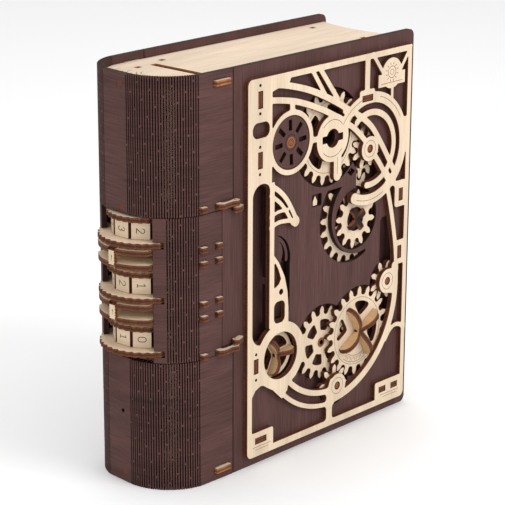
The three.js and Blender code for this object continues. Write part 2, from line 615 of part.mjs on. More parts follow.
const frameHoles = [
  hole(polygon([[12.2, 20.2], [28.5, 20.2], [28.5, 46.5], [24, 46.3], [20, 47.2], [15.5, 46.2],
    [12.9, 43], [12.2, 40]])),
  hole(roundRect(12.4, 27.3, 71.5, 163.5, 7.2)),
  hole(roundRect(12.2, 25.4, 189.4, 197.9, 3.6)),
  ...[[17.9, 218.2], [17.9, 202.8], [17.9, 184.4], [17.9, 169.3], [15.5, 66.8], [15.5, 51.8]].map(
    ([x, z]) => hole(disc(x, z, 0.85, 8))),
];
const holes = [
  hole(disc(...DISC, 15.1, 40)),
  hole(disc(...KEY, 5.3, 20)),
  hole(roundRect(KEY[0] - 8.7, KEY[0] + 8.7, KEY[1] - 2, KEY[1] + 2, 0.4)),
  hole(disc(...TRI, 13.7, 36)),
  hole(disc(35.7, 98.6, 1.6, 10)),
  hole(roundRect(29.9, 38.8, 80.8, 93.4, 3)),
  hole(polygon([[30, 101.6], [33.8, 103.4], [35.4, 106.4], [33, 112.4], [30, 117.4]])),
  ...[IDLER, SIDE_HIGH, SIDE_LOW].map((c) => hole(disc(...c, AXLE_R + 0.4, 14))),
  hole(polygon([[94, 186.4], [96.4, 188.6], [98.6, 186.4], [96.3, 184.2]])),
];
const lattice = cut(join(cut(frame, frameHoles), bars), holes, railSlots);
piece('lattice_panel', lattice, LIGHT, 0.75, PANEL_FLATNESS);

// ---- front cover: inner plate and rails ---------------------------------------
const plate = cut(coverPlate(roundRect(11, 143, 14, 216, 3), PLATE_Y, PLATE_Y + PLY),
  Object.values(rails).map((r) => box(r.x[0] - GAP, r.x[1] + GAP, PLATE_Y - 1, PLATE_Y + PLY + 1,
    r.z[0] - GAP, r.z[1] + GAP)),
  [WHEEL, IDLER, C_GEAR, SIDE_LOW, SIDE_HIGH, DISC].map((c) => rodY(c[0], c[1], AXLE_R + GAP,
    PLATE_Y - 1, PLATE_Y + PLY + 1)),
  rodY(...LEFT, AXLE_HOLE_R, PLATE_Y - 1, PLATE_Y + PLY + 1, 14),
  rodY(...TRI, 3.1, PLATE_Y - 1, PLATE_Y + PLY + 1, 20));
const keySleeve = cut(rodY(...KEY_GEAR, 9.0, PLANE_1, PLATE_Y + 1, 28),
  rodY(...KEY_GEAR, 5.6, PLANE_1 - 1, PLATE_Y + PLY + 2, 20));
const leverTip = coverPlate(polygon([[65.6, 141], [69.2, 141], [69.3, 143.6], [67.4, 147],
  [65.5, 143.6]]), PLANE_1 + 0.4, PLATE_Y + 1);     // seen in a small window of the panel
piece('inner_plate', cut(join(plate, keySleeve, leverTip),
  rodY(...KEY_GEAR, 5.6, PLANE_1 - 1, PLATE_Y + PLY + 2, 20)), BROWN);
Object.entries(rails).forEach(([name, r]) => {
  const body = box(...r.x, COVER_Y + PLY + 0.2, RAIL_BACK, ...r.z);
  let rail = join(body, railBox(r, TAB_FRONT, COVER_Y + PLY + 1));
  if (name === 'rail_right') {
    rail = rail.subtract(box(130, 150, BOLT_Y - GAP, RAIL_BACK + 1, BOLT_Z[0] - GAP, BOLT_Z[1] + GAP));
  }
  piece(name, rail, TAN);
});

// ---- gears ---------------------------------------------------------------------
const p1 = [PLANE_1, PLANE_1 + GEAR_T];
const p2 = [PLANE_2, PLANE_2 + GEAR_T];
const gear = (c, teeth, phase, y, module = MODULE) => (
  coverPlate(gearOutline(c, teeth, phase, module), ...y));
const axle = (c, y0, y1) => rodY(c[0], c[1], AXLE_R, y0, y1, 14);
const axleHole = (c, y) => rodY(c[0], c[1], AXLE_HOLE_R, y[0] - 1, y[1] + 1, 14);
const PLATE_BACK = PLATE_Y + PLY;
const BOSS_FACE = LATTICE_Y + 0.4;

const window = ([x, z], mid, half, r0, r1, y) => coverPlate(
  arcBand(x, z, r0, r1, mid - half, mid + half, 20), y[0] - 1, y[1] + 1);
const keyPhase = 259.3;
piece('key_gear', cut(gear(KEY_GEAR, TEETH.key, keyPhase, p1),
  rodY(...KEY_GEAR, 9.07, p1[0] - 1, p1[1] + 1, 28),
  window(KEY_GEAR, 188, 61, 12.4, 18.7, p1), window(KEY_GEAR, 68, 26, 12.4, 18.7, p1),
  window(KEY_GEAR, 344, 34, 12.4, 18.7, p1)), LIGHT);

const idlerPhase = meshPhase(KEY_GEAR, TEETH.key, keyPhase, IDLER, TEETH.idlerSmall);
const wheelPhase = 11.8;
const idlerBigPhase = meshPhase(WHEEL, TEETH.wheel, wheelPhase, IDLER, TEETH.idlerBig);
piece('idler_gears', cut(join(gear(IDLER, TEETH.idlerSmall, idlerPhase, p1),
  rodY(...IDLER, 6, p1[0], p2[1]),
  cut(gear(IDLER, TEETH.idlerBig, idlerBigPhase, p2), windows(IDLER, 4, 7, 11.8, 28, 40, ...p2))),
  axleHole(IDLER, [p1[0], p2[1]])), LIGHT);

const crownPhase = 21.6;
piece('large_gear', cut(gear(WHEEL, TEETH.wheel, wheelPhase, p2), axleHole(WHEEL, p2),
  windows(WHEEL, 4, 7.5, 18.9, 22, crownPhase + 45, ...p2)), LIGHT);
piece('crown_gear', cut(gear(WHEEL, TEETH.crown, crownPhase, p1),
  rodY(...WHEEL, 7, p1[0] - 1, p1[1] + 1, 24)), LIGHT);

const centrePhase = 85.8;
piece('centre_gear', cut(gear(C_GEAR, TEETH.centre, centrePhase, p1, MODULE_LOW),
  axleHole(C_GEAR, p1), [75, 165, 345].map((mid) => window(C_GEAR, mid, 22, 9.6, 18, p1))), LIGHT);
const leftPhase = 20.8;
const backPhase = meshPhase(LEFT, TEETH.left, leftPhase, C_GEAR, TEETH.back);
piece('centre_pinion', cut(gear(C_GEAR, TEETH.back, backPhase, p2, MODULE_LOW),
  axleHole(C_GEAR, p2)), LIGHT);
const leftHoles = [];
for (let i = 0; i < 6; i += 1) {
  const a = THREE.MathUtils.degToRad(15 + 60 * i);
  leftHoles.push(rodY(LEFT[0] + 10.6 * Math.cos(a), LEFT[1] + 10.6 * Math.sin(a), 3.1,
    p2[0] - 1, p2[1] + 1, 10));
}
piece('left_gear', join(cut(gear(LEFT, TEETH.left, leftPhase, p2, MODULE_LOW), leftHoles),
  rodY(...LEFT, AXLE_R, PLANE_2 - 0.3, PLATE_Y + PLY, 14)), LIGHT);

[['pinion_low', SIDE_LOW], ['pinion_high', SIDE_HIGH]].forEach(([name, c]) => {
  const phase = meshPhase(C_GEAR, TEETH.centre, centrePhase, c, TEETH.side);
  piece(name, cut(gear(c, TEETH.side, phase, p1, MODULE_LOW), axleHole(c, p1)), LIGHT);
});

// Axles stand in the inner plate. The ones under a boss also end in the lattice.
piece('axle_idler', axle(IDLER, BOSS_FACE, PLATE_BACK), TAN);
piece('axle_large_gear', axle(WHEEL, PLANE_2 + 0.1, PLATE_BACK), TAN);
piece('axle_centre', axle(C_GEAR, PLANE_1 - 0.4, PLATE_BACK), TAN);
piece('axle_pinion_low', axle(SIDE_LOW, BOSS_FACE, PLATE_BACK), TAN);
piece('axle_pinion_high', axle(SIDE_HIGH, BOSS_FACE, PLATE_BACK), TAN);
piece('axle_spoked_disc', axle(DISC, LATTICE_Y + 0.2, PLATE_BACK), TAN);

// ---- knobs ---------------------------------------------------------------------
// One arm: a thin plate standing on the gear, highest in the middle of the arm.
function knobArm([x, z], length, height, thick, turn, yBase) {
  const shape = new THREE.Shape();
  shape.moveTo(0, 0);
  shape.lineTo(length, 0);
  shape.lineTo(length, height * 0.3);
  shape.quadraticCurveTo(length * 0.9, height * 1.05, length * 0.55, height);
  shape.quadraticCurveTo(length * 0.2, height * 0.85, 0, height * 0.4);
  shape.closePath();
  const options = { depth: thick, bevelEnabled: false, curveSegments: 4 };
  const geometry = new THREE.ExtrudeGeometry(shape, options);
  geometry.translate(0, 0, -thick / 2);
  geometry.rotateX(Math.PI);
  geometry.rotateY(-THREE.MathUtils.degToRad(turn));
  geometry.translate(x, yBase, z);
  return toSolid(geometry);
}
function knob(centre, count, length, height, thick, turn, yBase, hub) {
  const arms = [];
  for (let i = 0; i < count; i += 1) {
    arms.push(knobArm(centre, length, height, thick, turn + (360 / count) * i, yBase));
  }
  return join(rodY(...centre, hub, yBase - height * 0.4, yBase, 12), arms);
}
const knobClear = (c) => rodY(c[0], c[1], AXLE_R + 0.3, PLANE_1 - 0.8, PLANE_1 + 1, 20);
piece('centre_knob', cut(knob(C_GEAR, 4, 17.8, KNOB_H, 3.2, 30, PLANE_1 - 0.2, 3.4),
  knobClear(C_GEAR)), TAN);
// The crown gear's knob stands on a disc that closes the gear's middle, clear of the lattice.
piece('crown_knob', join(knob(WHEEL, 4, 7.9, 2.8, 2.4, 33, PLANE_1 - 0.2, 2.6),
  rodY(...WHEEL, 2.6, PLANE_1 - 0.4, PLANE_2 - 0.5, 14),
  rodY(...WHEEL, 6.7, PLANE_2 - 1.1, PLANE_2 - 0.3, 24)), BROWN);

// Three-arm knob in the ring at the lower left, with its wheel and pinion.
const TRI_PITCH = 6;
function smallPinion([x, z], phase) {
  const points = [];
  for (let i = 0; i < 8; i += 1) {
    for (const [part, r] of [[-0.34, 4.3], [-0.18, 6], [-0.06, 7.2], [0.06, 7.2], [0.18, 6], [0.34, 4.3]]) {
      const a = ((phase + 45 * (i + part)) * Math.PI) / 180;
      points.push([x + r * Math.cos(a), z + r * Math.sin(a)]);
    }
  }
  return polygon(points);
}
const TRI_Y = COVER_Y + 1.4;
function lineBar(a, b, width, y0, y1) {
  return coverPlate(strokeOutline([a, b], width), y0, y1);
}
const triWheel = cut(coverPlate(disc(...TRI, 13.3, 36), TRI_Y, TRI_Y + PLY),
  coverPlate(disc(...TRI, 10.6, 30), TRI_Y - 1, TRI_Y + PLY + 1));
const spokes = [0, 1, 2].map((i) => {
  const a = THREE.MathUtils.degToRad(5 + 120 * i);
  return lineBar(TRI, [TRI[0] + 12 * Math.cos(a), TRI[1] + 12 * Math.sin(a)], 4.4, TRI_Y, TRI_Y + PLY);
});
piece('tri_wheel', join(triWheel, spokes, rodY(...TRI, 3.0, TRI_Y, BOLT_Y + PLY, 20),
  coverPlate(smallPinion(TRI, 270), BOLT_Y, BOLT_Y + PLY)), LIGHT);
piece('tri_knob', knob(TRI, 3, 12.4, KNOB_H - 0.6, 3, 5, TRI_Y - 0.3, 3), TAN);

// Bolt: a rack under the three-arm knob's pinion drives it through the fore edge.
const BOLT_X = [20, 142.6];
const rackPitch = (2 * Math.PI * TRI_PITCH) / 8;
const rackLine = TRI[1] - TRI_PITCH - 0.25;
const rackPoints = [[BOLT_X[0], BOLT_Z[0]], [BOLT_X[1] - 3, BOLT_Z[0]], [BOLT_X[1], BOLT_Z[0] + 2],
  [BOLT_X[1], BOLT_Z[1]], [50, BOLT_Z[1]]];
for (let i = 2; i >= -3; i -= 1) {
  const x = TRI[0] + (i + 0.5) * rackPitch;
  rackPoints.push([x + 0.36 * rackPitch, rackLine - 1.75], [x + 0.18 * rackPitch, rackLine],
    [x + 0.06 * rackPitch, rackLine + 1.0], [x - 0.06 * rackPitch, rackLine + 1.0],
    [x - 0.18 * rackPitch, rackLine], [x - 0.36 * rackPitch, rackLine - 1.75]);
}
rackPoints.push([BOLT_X[0], rackLine - 1.75]);
piece('bolt', coverPlate(polygon(rackPoints), BOLT_Y, BOLT_Y + PLY), TAN);

// Spoked disc in the ring at the upper left, turned with a finger in its slots.
const discY = [LATTICE_Y + 0.3, COVER_Y - 0.3];
const discSlots = [];
for (let i = 0; i < 8; i += 1) {
  const a = THREE.MathUtils.degToRad(3 + 45 * i);
  const at = (r) => [DISC[0] + r * Math.cos(a), DISC[1] + r * Math.sin(a)];
  discSlots.push(lineBar(at(6.8), at(12.6), 2.4, discY[0] - 1, discY[1] + 1));
}
piece('spoked_disc', cut(coverPlate(disc(...DISC, 14.8, 40), ...discY), discSlots,
  axleHole(DISC, discY)), BROWN);

export default book;
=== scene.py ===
"""Looks of the plywood puzzle book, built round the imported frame.

Outlines are drawn in millimetres in the book's own frame: x = 0 at the cover's
hinge line, y = 0 in the middle of the thickness, z = 0 at the bottom edge.
"""

import json
import math

import bpy
import numpy as np
from mathutils import Matrix, Vector
from mathutils.geometry import delaunay_2d_cdt


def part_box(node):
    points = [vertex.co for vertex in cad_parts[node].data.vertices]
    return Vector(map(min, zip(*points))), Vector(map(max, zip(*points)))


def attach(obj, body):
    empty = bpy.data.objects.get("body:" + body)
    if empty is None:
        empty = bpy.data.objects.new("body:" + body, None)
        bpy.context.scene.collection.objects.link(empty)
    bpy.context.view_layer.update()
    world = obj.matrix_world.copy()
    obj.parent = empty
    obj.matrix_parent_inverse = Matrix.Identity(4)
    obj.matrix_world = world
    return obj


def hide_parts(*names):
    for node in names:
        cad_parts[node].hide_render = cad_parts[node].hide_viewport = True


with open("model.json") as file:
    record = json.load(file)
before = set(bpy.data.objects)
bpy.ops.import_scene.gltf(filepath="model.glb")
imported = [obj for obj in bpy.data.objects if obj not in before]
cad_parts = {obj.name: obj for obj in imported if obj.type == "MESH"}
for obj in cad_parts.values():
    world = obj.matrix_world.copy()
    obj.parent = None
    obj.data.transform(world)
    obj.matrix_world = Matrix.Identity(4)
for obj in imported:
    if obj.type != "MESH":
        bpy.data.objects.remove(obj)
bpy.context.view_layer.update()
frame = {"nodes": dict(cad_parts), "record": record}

# ---- driving dimensions, in millimetres -------------------------------------------
MM = 0.001
PLY = 3.0
HEIGHT = 230.0
THICK = 70.0
COVER_W = 152.0
SPINE_D = 49.0
SPINE_R = 30.0
AXIS_X = -30.5
GRIP_R = 26.4
TOP_RING_R = 21.6
TILE_FACE_R = 18.5
TILE_W = 10.3
TILE_H = 9.6
TILE_THICK = 2.2
DIGITS = 10
BORE_R = 3.5
SHAFT_HOLE_R = 3.6
MODULE = 2.5            # gears of the key's train
MODULE_LOW = 2.47       # gears of the lower knob's train
TEETH = {"key": 20, "idler_small": 8, "idler_big": 13, "wheel": 20, "crown": 12,
         "centre": 20, "side": 8, "back": 7, "left": 16}
BACKLASH_GAP = 0.2
AXLE_R = 2.0
AXLE_HOLE_R = AXLE_R + 0.07
GAP = 0.3               # between pieces that touch
KNOB_H = 6.2
HINGE = (0.0, -37.4)    # its axis, outside the cover's face
EYE_R = 2.05
PIN_HOLE_R = 0.96
PIN_R = 0.9
TAB_FROM = 26.0         # tabs start here, inside a rib
TAB_OUT = THICK / 2 + 2
GRAIN_SHIFT = 37.0      # moves the grain on from one piece to the next

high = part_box("back_cover")[1]
OFFSET = np.array([high.x / MM - COVER_W, high.y / MM - THICK / 2, 0.0])
BEHAVIOUR = frame["record"]["behaviour"]
BODY_OF = {n: b for b, nodes in BEHAVIOUR["bodies"].items() for n in nodes}


def span(node, axis):
    """Lowest and highest coordinate of a CAD node along x, y or z, in the book's frame."""
    a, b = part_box(node)
    k = "xyz".index(axis)
    return a[k] / MM - OFFSET[k], b[k] / MM - OFFSET[k]


def centre(node):
    """Middle of a CAD node in the cover's plane."""
    return tuple(sum(span(node, axis)) / 2 for axis in "xz")


# ---- flat shapes as distances, negative inside -------------------------------------
def around(c, r):
    """Bounds of a circle: x0, x1, y0, y1."""
    return c[0] - r, c[0] + r, c[1] - r, c[1] + r


def polar(c, r, degrees):
    """The point at distance r from c, the angle counted up from +x."""
    a = math.radians(degrees)
    return c[0] + r * math.cos(a), c[1] + r * math.sin(a)


def circle(c, r):
    return around(c, r), lambda x, y: np.hypot(x - c[0], y - c[1]) - r


def round_box(x0, x1, y0, y1, r):
    cx, cy = (x0 + x1) / 2, (y0 + y1) / 2

    def distance(x, y):
        u = np.abs(x - cx) - (x1 - x0) / 2 + r
        v = np.abs(y - cy) - (y1 - y0) / 2 + r
        return np.hypot(np.maximum(u, 0), np.maximum(v, 0)) + np.minimum(np.maximum(u, v), 0) - r
    return (x0, x1, y0, y1), distance


def segment_distance(x, y, a, b):
    ax, ay = a
    dx, dy = b[0] - ax, b[1] - ay
    t = np.clip(((x - ax) * dx + (y - ay) * dy) / (dx * dx + dy * dy), 0, 1)
    return np.hypot(x - ax - t * dx, y - ay - t * dy)


def line_distance(x, y, line):
    d = segment_distance(x, y, line[0], line[1])
    for a, b in zip(line[1:], line[2:]):
        d = np.minimum(d, segment_distance(x, y, a, b))
    return d


def is_inside(x, y, points):
    """Whether each place lies inside the closed outline."""
    inside = np.zeros(x.shape, bool)
    for (ax, ay), (bx, by) in zip(points, points[1:] + points[:1]):
        if ay != by:
            inside ^= ((ay > y) != (by > y)) & (x < (bx - ax) * (y - ay) / (by - ay) + ax)
    return inside


def bounds_of(points, margin):
    (x0, y0), (x1, y1) = np.min(points, 0) - margin, np.max(points, 0) + margin
    return x0, x1, y0, y1


def curve_through(points, per_span=6):
    """Smooth line through the points (Catmull-Rom)."""
    p = np.array([points[0]] + list(points) + [points[-1]], float)
    out = []
    for i in range(1, len(p) - 2):
        for t in np.arange(per_span) / per_span:
            a, b, c, d = p[i - 1:i + 3]
            out.append(0.5 * (2 * b + (c - a) * t + (2 * a - 5 * b + 4 * c - d) * t ** 2
                              + (3 * b - a - 3 * c + d) * t ** 3))
    out.append(p[-2])
    return [tuple(q) for q in out]


def stroke(points, width):
    """Band with round ends along a smooth line."""
    line = curve_through(points) if len(points) > 2 else points
    return bounds_of(line, width / 2), lambda x, y: line_distance(x, y, line) - width / 2


def polygon(points, r=0.0):
    """Polygon whose corners are rounded outwards by r."""
    def distance(x, y):
        d = line_distance(x, y, points + points[:1])
        return np.where(is_inside(x, y, points), -d, d) - r
    return bounds_of(points, r), distance


def arc(c, r, width, start, end):
    """Band along an arc with round ends, angles in degrees from +x, counted up."""
    middle, half = math.radians((start + end) / 2), math.radians((end - start) / 2)
    ends = [polar(c, r, a) for a in (start, end)]

    def distance(x, y):
        a = np.arctan2(y - c[1], x - c[0]) - middle
        a = np.abs((a + np.pi) % (2 * np.pi) - np.pi)
        on = np.abs(np.hypot(x - c[0], y - c[1]) - r)
        off = np.minimum(*[np.hypot(x - e[0], y - e[1]) for e in ends])
        return np.where(a <= half, on, off) - width / 2
    return around(c, r + width / 2), distance


def wedge(c, r0, r1, start, end, spoke, r):
    """Window between two spokes of a wheel, with rounded corners."""
    def distance(x, y):
        u, v = x - c[0], y - c[1]
        ring = np.maximum(r0 - np.hypot(u, v), np.hypot(u, v) - r1)
        a, b = math.radians(start), math.radians(end)
        first = u * math.sin(a) - v * math.cos(a) + spoke / 2
        second = -u * math.sin(b) + v * math.cos(b) + spoke / 2
        sides = np.maximum(first, second)
        p, q = np.maximum(ring + r, 0), np.maximum(sides + r, 0)
        return np.minimum(np.maximum(ring, sides), -r) + np.hypot(p, q)
    return around(c, r1), distance


def both(a, b):
    """What two shapes share."""
    return a[0], lambda x, y: np.maximum(a[1](x, y), b[1](x, y))


def less(a, b):
    """The first shape without the second."""
    return a[0], lambda x, y: np.maximum(a[1](x, y), -b[1](x, y))


class Field:
    """A flat shape held as a distance on a grid, so that joins and fillets are simple."""

    def __init__(self, x0, x1, y0, y1, step=0.25, pad=1.5):
        self.step = step
        self.x = np.arange(x0 - pad, x1 + pad + step, step)
        self.y = np.arange(y0 - pad, y1 + pad + step, step)
        self.grid = np.meshgrid(self.x, self.y)
        self.d = np.full(self.grid[0].shape, 50.0)

    def _window(self, box, margin):
        i0, i1 = np.searchsorted(self.x, (box[0] - margin, box[1] + margin))
        j0, j1 = np.searchsorted(self.y, (box[2] - margin, box[3] + margin))
        return slice(j0, j1), slice(i0, i1)

    def add(self, shape, fillet=0.0):
        box, distance = shape
        w = self._window(box, fillet + 2.0)
        a, b = self.d[w], distance(self.grid[0][w], self.grid[1][w])
        if fillet:
            u, v = np.maximum(fillet - a, 0), np.maximum(fillet - b, 0)
            self.d[w] = np.maximum(fillet, np.minimum(a, b)) - np.hypot(u, v)
        else:
            self.d[w] = np.minimum(a, b)
        return self

    def cut(self, shape):
        box, distance = shape
        w = self._window(box, 2.0)
        self.d[w] = np.maximum(self.d[w], -distance(self.grid[0][w], self.grid[1][w]))
        return self

    def cut_field(self, other):
        """Cuts out another field on the same grid."""
        self.d = np.maximum(self.d, -other.d)
        return self

    def loops(self, flatness=0.015):
        """Closed outlines where the distance is zero, material on their left."""
        inside = self.d < 0
        code = inside[:-1, :-1] + 2 * inside[:-1, 1:] + 4 * inside[1:, 1:] + 8 * inside[1:, :-1]
        # the sides by which the outline enters and leaves a cell, for each pattern of its corners
        steps = {1: ((0, 3),), 2: ((1, 0),), 3: ((1, 3),), 4: ((2, 1),), 5: ((0, 3), (2, 1)), 6: ((2, 0),),
                 7: ((2, 3),), 8: ((3, 2),), 9: ((0, 2),), 10: ((1, 0), (3, 2)), 11: ((1, 2),),
                 12: ((3, 1),), 13: ((0, 1),), 14: ((3, 0),)}
        follow = {}
        for j, i in zip(*np.nonzero((code > 0) & (code < 15))):
            sides = ((j, i, 0), (j, i + 1, 1), (j + 1, i, 0), (j, i, 1))
            for a, b in steps[code[j, i]]:
                follow[sides[a]] = sides[b]

        def crossing(side):
            j, i, upright = side
            j2, i2 = j + upright, i + 1 - upright
            t = self.d[j, i] / (self.d[j, i] - self.d[j2, i2])
            return (self.x[i] + t * self.step * (1 - upright), self.y[j] + t * self.step * upright)
        found = []
        while follow:
            first, side = follow.popitem()
            loop = [crossing(first)]
            while side != first:
                loop.append(crossing(side))
                side = follow.pop(side)
            if len(loop) > 6:
                found.append(simpler(loop, flatness))
        return found


def simpler(loop, flatness):
    """The same closed outline with fewer points, none further off than flatness."""
    p = np.array(loop)
    far = int(np.argmax(np.hypot(*(p - p[0]).T)))
    keep = set()
    stack = [(0, far), (far, len(p))]
    q = np.vstack([p, p[:1]])
    while stack:
        a, b = stack.pop()
        keep.update((a, b % len(p)))
        if b - a < 2:
            continue
        along = q[b] - q[a]
        length = math.hypot(*along)
        rel = q[a + 1:b] - q[a]
        if length > 1e-9:
            off = np.abs(rel[:, 0] * along[1] - rel[:, 1] * along[0]) / length
        else:
            off = np.hypot(*rel.T)
        worst = int(np.argmax(off))
        if off[worst] > flatness:
            stack += [(a, a + 1 + worst), (a + 1 + worst, b)]
    return [tuple(p[i]) for i in sorted(keep)]


# ---- flat shapes made solid ---------------------------------------------------------
def loop_area(loop):
    return sum(a[0] * b[1] - a[1] * b[0] for a, b in zip(loop, loop[1:] + loop[:1])) / 2


def counter_clockwise(loop):
    return loop if loop_area(loop) > 0 else loop[::-1]


def moved_in(loop, amount):
    """The loop moved towards its left-hand side by amount, corners mitred."""
    p = np.array(loop)
    ahead = np.roll(p, -1, 0) - p
    ahead /= np.maximum(np.hypot(*ahead.T), 1e-9)[:, None]
    normal = np.stack([-ahead[:, 1], ahead[:, 0]], 1)
    before = np.roll(normal, 1, 0)
    mitre = (normal + before) / np.maximum(1 + (normal * before).sum(1), 0.35)[:, None]
    return [tuple(q) for q in p + amount * mitre]


def rectangle(x0, x1, y0, y1):
    return [(x0, y0), (x1, y0), (x1, y1), (x0, y1)]


def disc_loop(c, r, sides=48):
    return [(c[0] + r * math.cos(2 * math.pi * i / sides), c[1] + r * math.sin(2 * math.pi * i / sides))
            for i in range(sides)]


def cover_place(front):
    """Puts a shape drawn in (x, z) in the cover's plane, its face at y = front."""
    return lambda u, v, w: np.stack([u, front + w, v], 1)


def level_place(bottom):
    """Puts a shape drawn in (x, y) level, its lower face at z = bottom."""
    return lambda u, v, w: np.stack([u, v, bottom + w], 1)


def upright_place(left):
    """Stands a shape drawn in (z, y) on edge, its left face at x = left."""
    return lambda u, v, w: np.stack([left + w, v, u], 1)


def triangulated(edge_loops, cut_loops, engraved, guides):
    """Flat points, and the triangles between them with 1 for an engraved one and 0 for the rest."""
    points, faces, lines = [], [], []
    for loop in edge_loops + cut_loops + list(engraved):
        first = len(points)
        points += counter_clockwise(loop)
        faces.append(list(range(first, len(points))))
    for a, b in guides:
        lines.append((len(points), len(points) + 1))
        points += [a, b]
    out = delaunay_2d_cdt([Vector(p) for p in points], lines, faces, 1, 1e-5)
    n_edge, n_cut = len(edge_loops), len(edge_loops) + len(cut_loops)
    marks = {}
    for triangle, sources in zip(out[2], out[5]):
        in_cut = any(n_edge <= s < n_cut for s in sources)
        if sum(s < n_edge for s in sources) % 2 and not in_cut:
            marks[tuple(triangle)] = sum(s >= n_cut for s in sources) % 2
    return np.array([tuple(v) for v in out[0]], float), marks


def outward(flat, rim):
    """How far each rim point moves when the walls beside it move out by one."""
    mitre = np.zeros_like(flat)
    for a, b in rim.items():
        d = flat[b] - flat[a]
        normal = np.array([d[1], -d[0]]) / max(math.hypot(*d), 1e-9)
        mitre[a] += normal
        mitre[b] += normal
    size = (mitre ** 2).sum(1)
    return mitre * np.minimum(2 / np.maximum(size, 1e-6), 1.6)[:, None]


def chains(rim):
    """The rim's steps, one closed outline after another."""
    todo = dict(rim)
    while todo:
        a, b = todo.popitem()
        chain = [(a, b)]
        while b in todo:
            a, b = b, todo.pop(b)
            chain.append((a, b))
        yield chain


FACE, WALL, MARK = 0, 1, 2                      # places in a piece's list of materials
FRONT, UPPER, LOWER, BACK, FLOOR = range(5)     # levels in a plate: faces, walls' ends, engraved floor
pieces_made = []


def plate(node, loops, depth, place, materials, notches=(), guides=(), engraved=(), chamfer=0.12,
          engrave_depth=0.2, grain_along_v=True, smooth_angle=32, name=None):
    """A solid plate from flat outlines, with chamfered rims, cut walls and engraved lines."""
    edge_loops = [moved_in(loop, chamfer) for loop in loops]
    cut_loops = [moved_in(counter_clockwise(loop), -chamfer) for loop in notches]
    flat, triangles = triangulated(edge_loops, cut_loops, engraved, guides)
    directed = {}
    for triangle, mark in triangles.items():
        for a, b in zip(triangle, triangle[1:] + triangle[:1]):
            directed[a, b] = mark
    rim = {a: b for a, b in directed if (b, a) not in directed}
    mitre = outward(flat, rim)
    heights = [0.0, chamfer, depth - chamfer, depth, engrave_depth]
    shift = GRAIN_SHIFT * len(pieces_made)
    index, where = {}, []
    polygons, slots, uvs = [], [], []

    def vertex(k, level):
        if (k, level) not in index:
            index[k, level] = len(where)
            p = flat[k] + (chamfer * mitre[k] if level in (UPPER, LOWER) else 0)
            where.append((p[0], p[1], heights[level]))
        return index[k, level]

    def face(corners, slot, uv):
        polygons.append([vertex(k, level) for k, level in corners])
        slots.append(slot)
        uvs.append(uv)

    def band(a, b, upper, lower, slot, uv):
        face([(a, upper), (b, upper), (b, lower), (a, lower)], slot, uv)

    for (a, b, c), mark in triangles.items():
        uv = [(flat[k][0] + shift, flat[k][1]) if grain_along_v else (flat[k][1] + shift, flat[k][0])
              for k in (a, b, c)]
        front = FLOOR if mark else FRONT
        face([(c, front), (b, front), (a, front)], MARK if mark else FACE, uv[::-1])
        face([(a, BACK), (b, BACK), (c, BACK)], FACE, uv)
    for (a, b), mark in directed.items():
        if not mark and directed.get((b, a)) == 1:
            band(a, b, FRONT, FLOOR, MARK, [(flat[k][0], flat[k][1]) for k in (a, b, b, a)])
    for chain in chains(rim):
        s = 0.0
        for a, b in chain:
            s2 = s + math.hypot(*(flat[b] - flat[a]))
            for upper, lower in ((FRONT, UPPER), (UPPER, LOWER), (LOWER, BACK)):
                v0, v1 = PLY * heights[upper] / depth, PLY * heights[lower] / depth
                band(a, b, upper, lower, WALL,
                     [(s + shift, v0), (s2 + shift, v0), (s2 + shift, v1), (s + shift, v1)])
            s = s2

    solid = place(*np.array(where).T)
    probe = place(np.array([0.0, 1, 0, 0]), np.array([0.0, 0, 1, 0]), np.array([0.0, 0, 0, 1]))
    if np.linalg.det(probe[1:] - probe[0]) < 0:
        polygons = [p[::-1] for p in polygons]
        uvs = [uv[::-1] for uv in uvs]
    return make_piece(node, solid, polygons, slots, uvs, materials, smooth_angle, name)


def level_plate(node, loops, materials, **more):
    """Level plate that fills its CAD node's height."""
    z0, z1 = span(node, "z")
    return plate(node, loops, z1 - z0, level_place(z0), materials, **more)


def cover_plate(node, loops, materials, **more):
    """Plate in the cover's plane that fills its CAD node's thickness."""
    y0, y1 = span(node, "y")
    return plate(node, loops, y1 - y0, cover_place(y0), materials, **more)


def make_piece(node, points, polygons, slots, uvs, materials, smooth_angle, name):
    """One Blender object from points in millimetres, riding on its node's body in place of the node."""
    name = name or node + "_look"
    mesh = bpy.data.meshes.new(name)
    mesh.from_pydata(((np.asarray(points) + OFFSET) * MM).tolist(), [], polygons)
    layer = mesh.uv_layers.new(name="grain")
    layer.data.foreach_set("uv", np.concatenate(uvs).astype(np.float32).ravel())
    for m in materials:
        mesh.materials.append(m)
    mesh.polygons.foreach_set("material_index", slots)
    mesh.polygons.foreach_set("use_smooth", [True] * len(polygons))
    mesh.set_sharp_from_angle(angle=math.radians(smooth_angle))
    mesh.validate()
    piece = bpy.data.objects.new(name, mesh)
    bpy.context.scene.collection.objects.link(piece)
    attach(piece, BODY_OF[node])
    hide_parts(node)
    pieces_made.append(piece)
    return piece


# ---- materials ----------------------------------------------------------------------
def blank(name):
    m = bpy.data.materials.new(name)
    m.use_nodes = True
    nodes, links = m.node_tree.nodes, m.node_tree.links
    return m, nodes, links, nodes["Principled BSDF"]


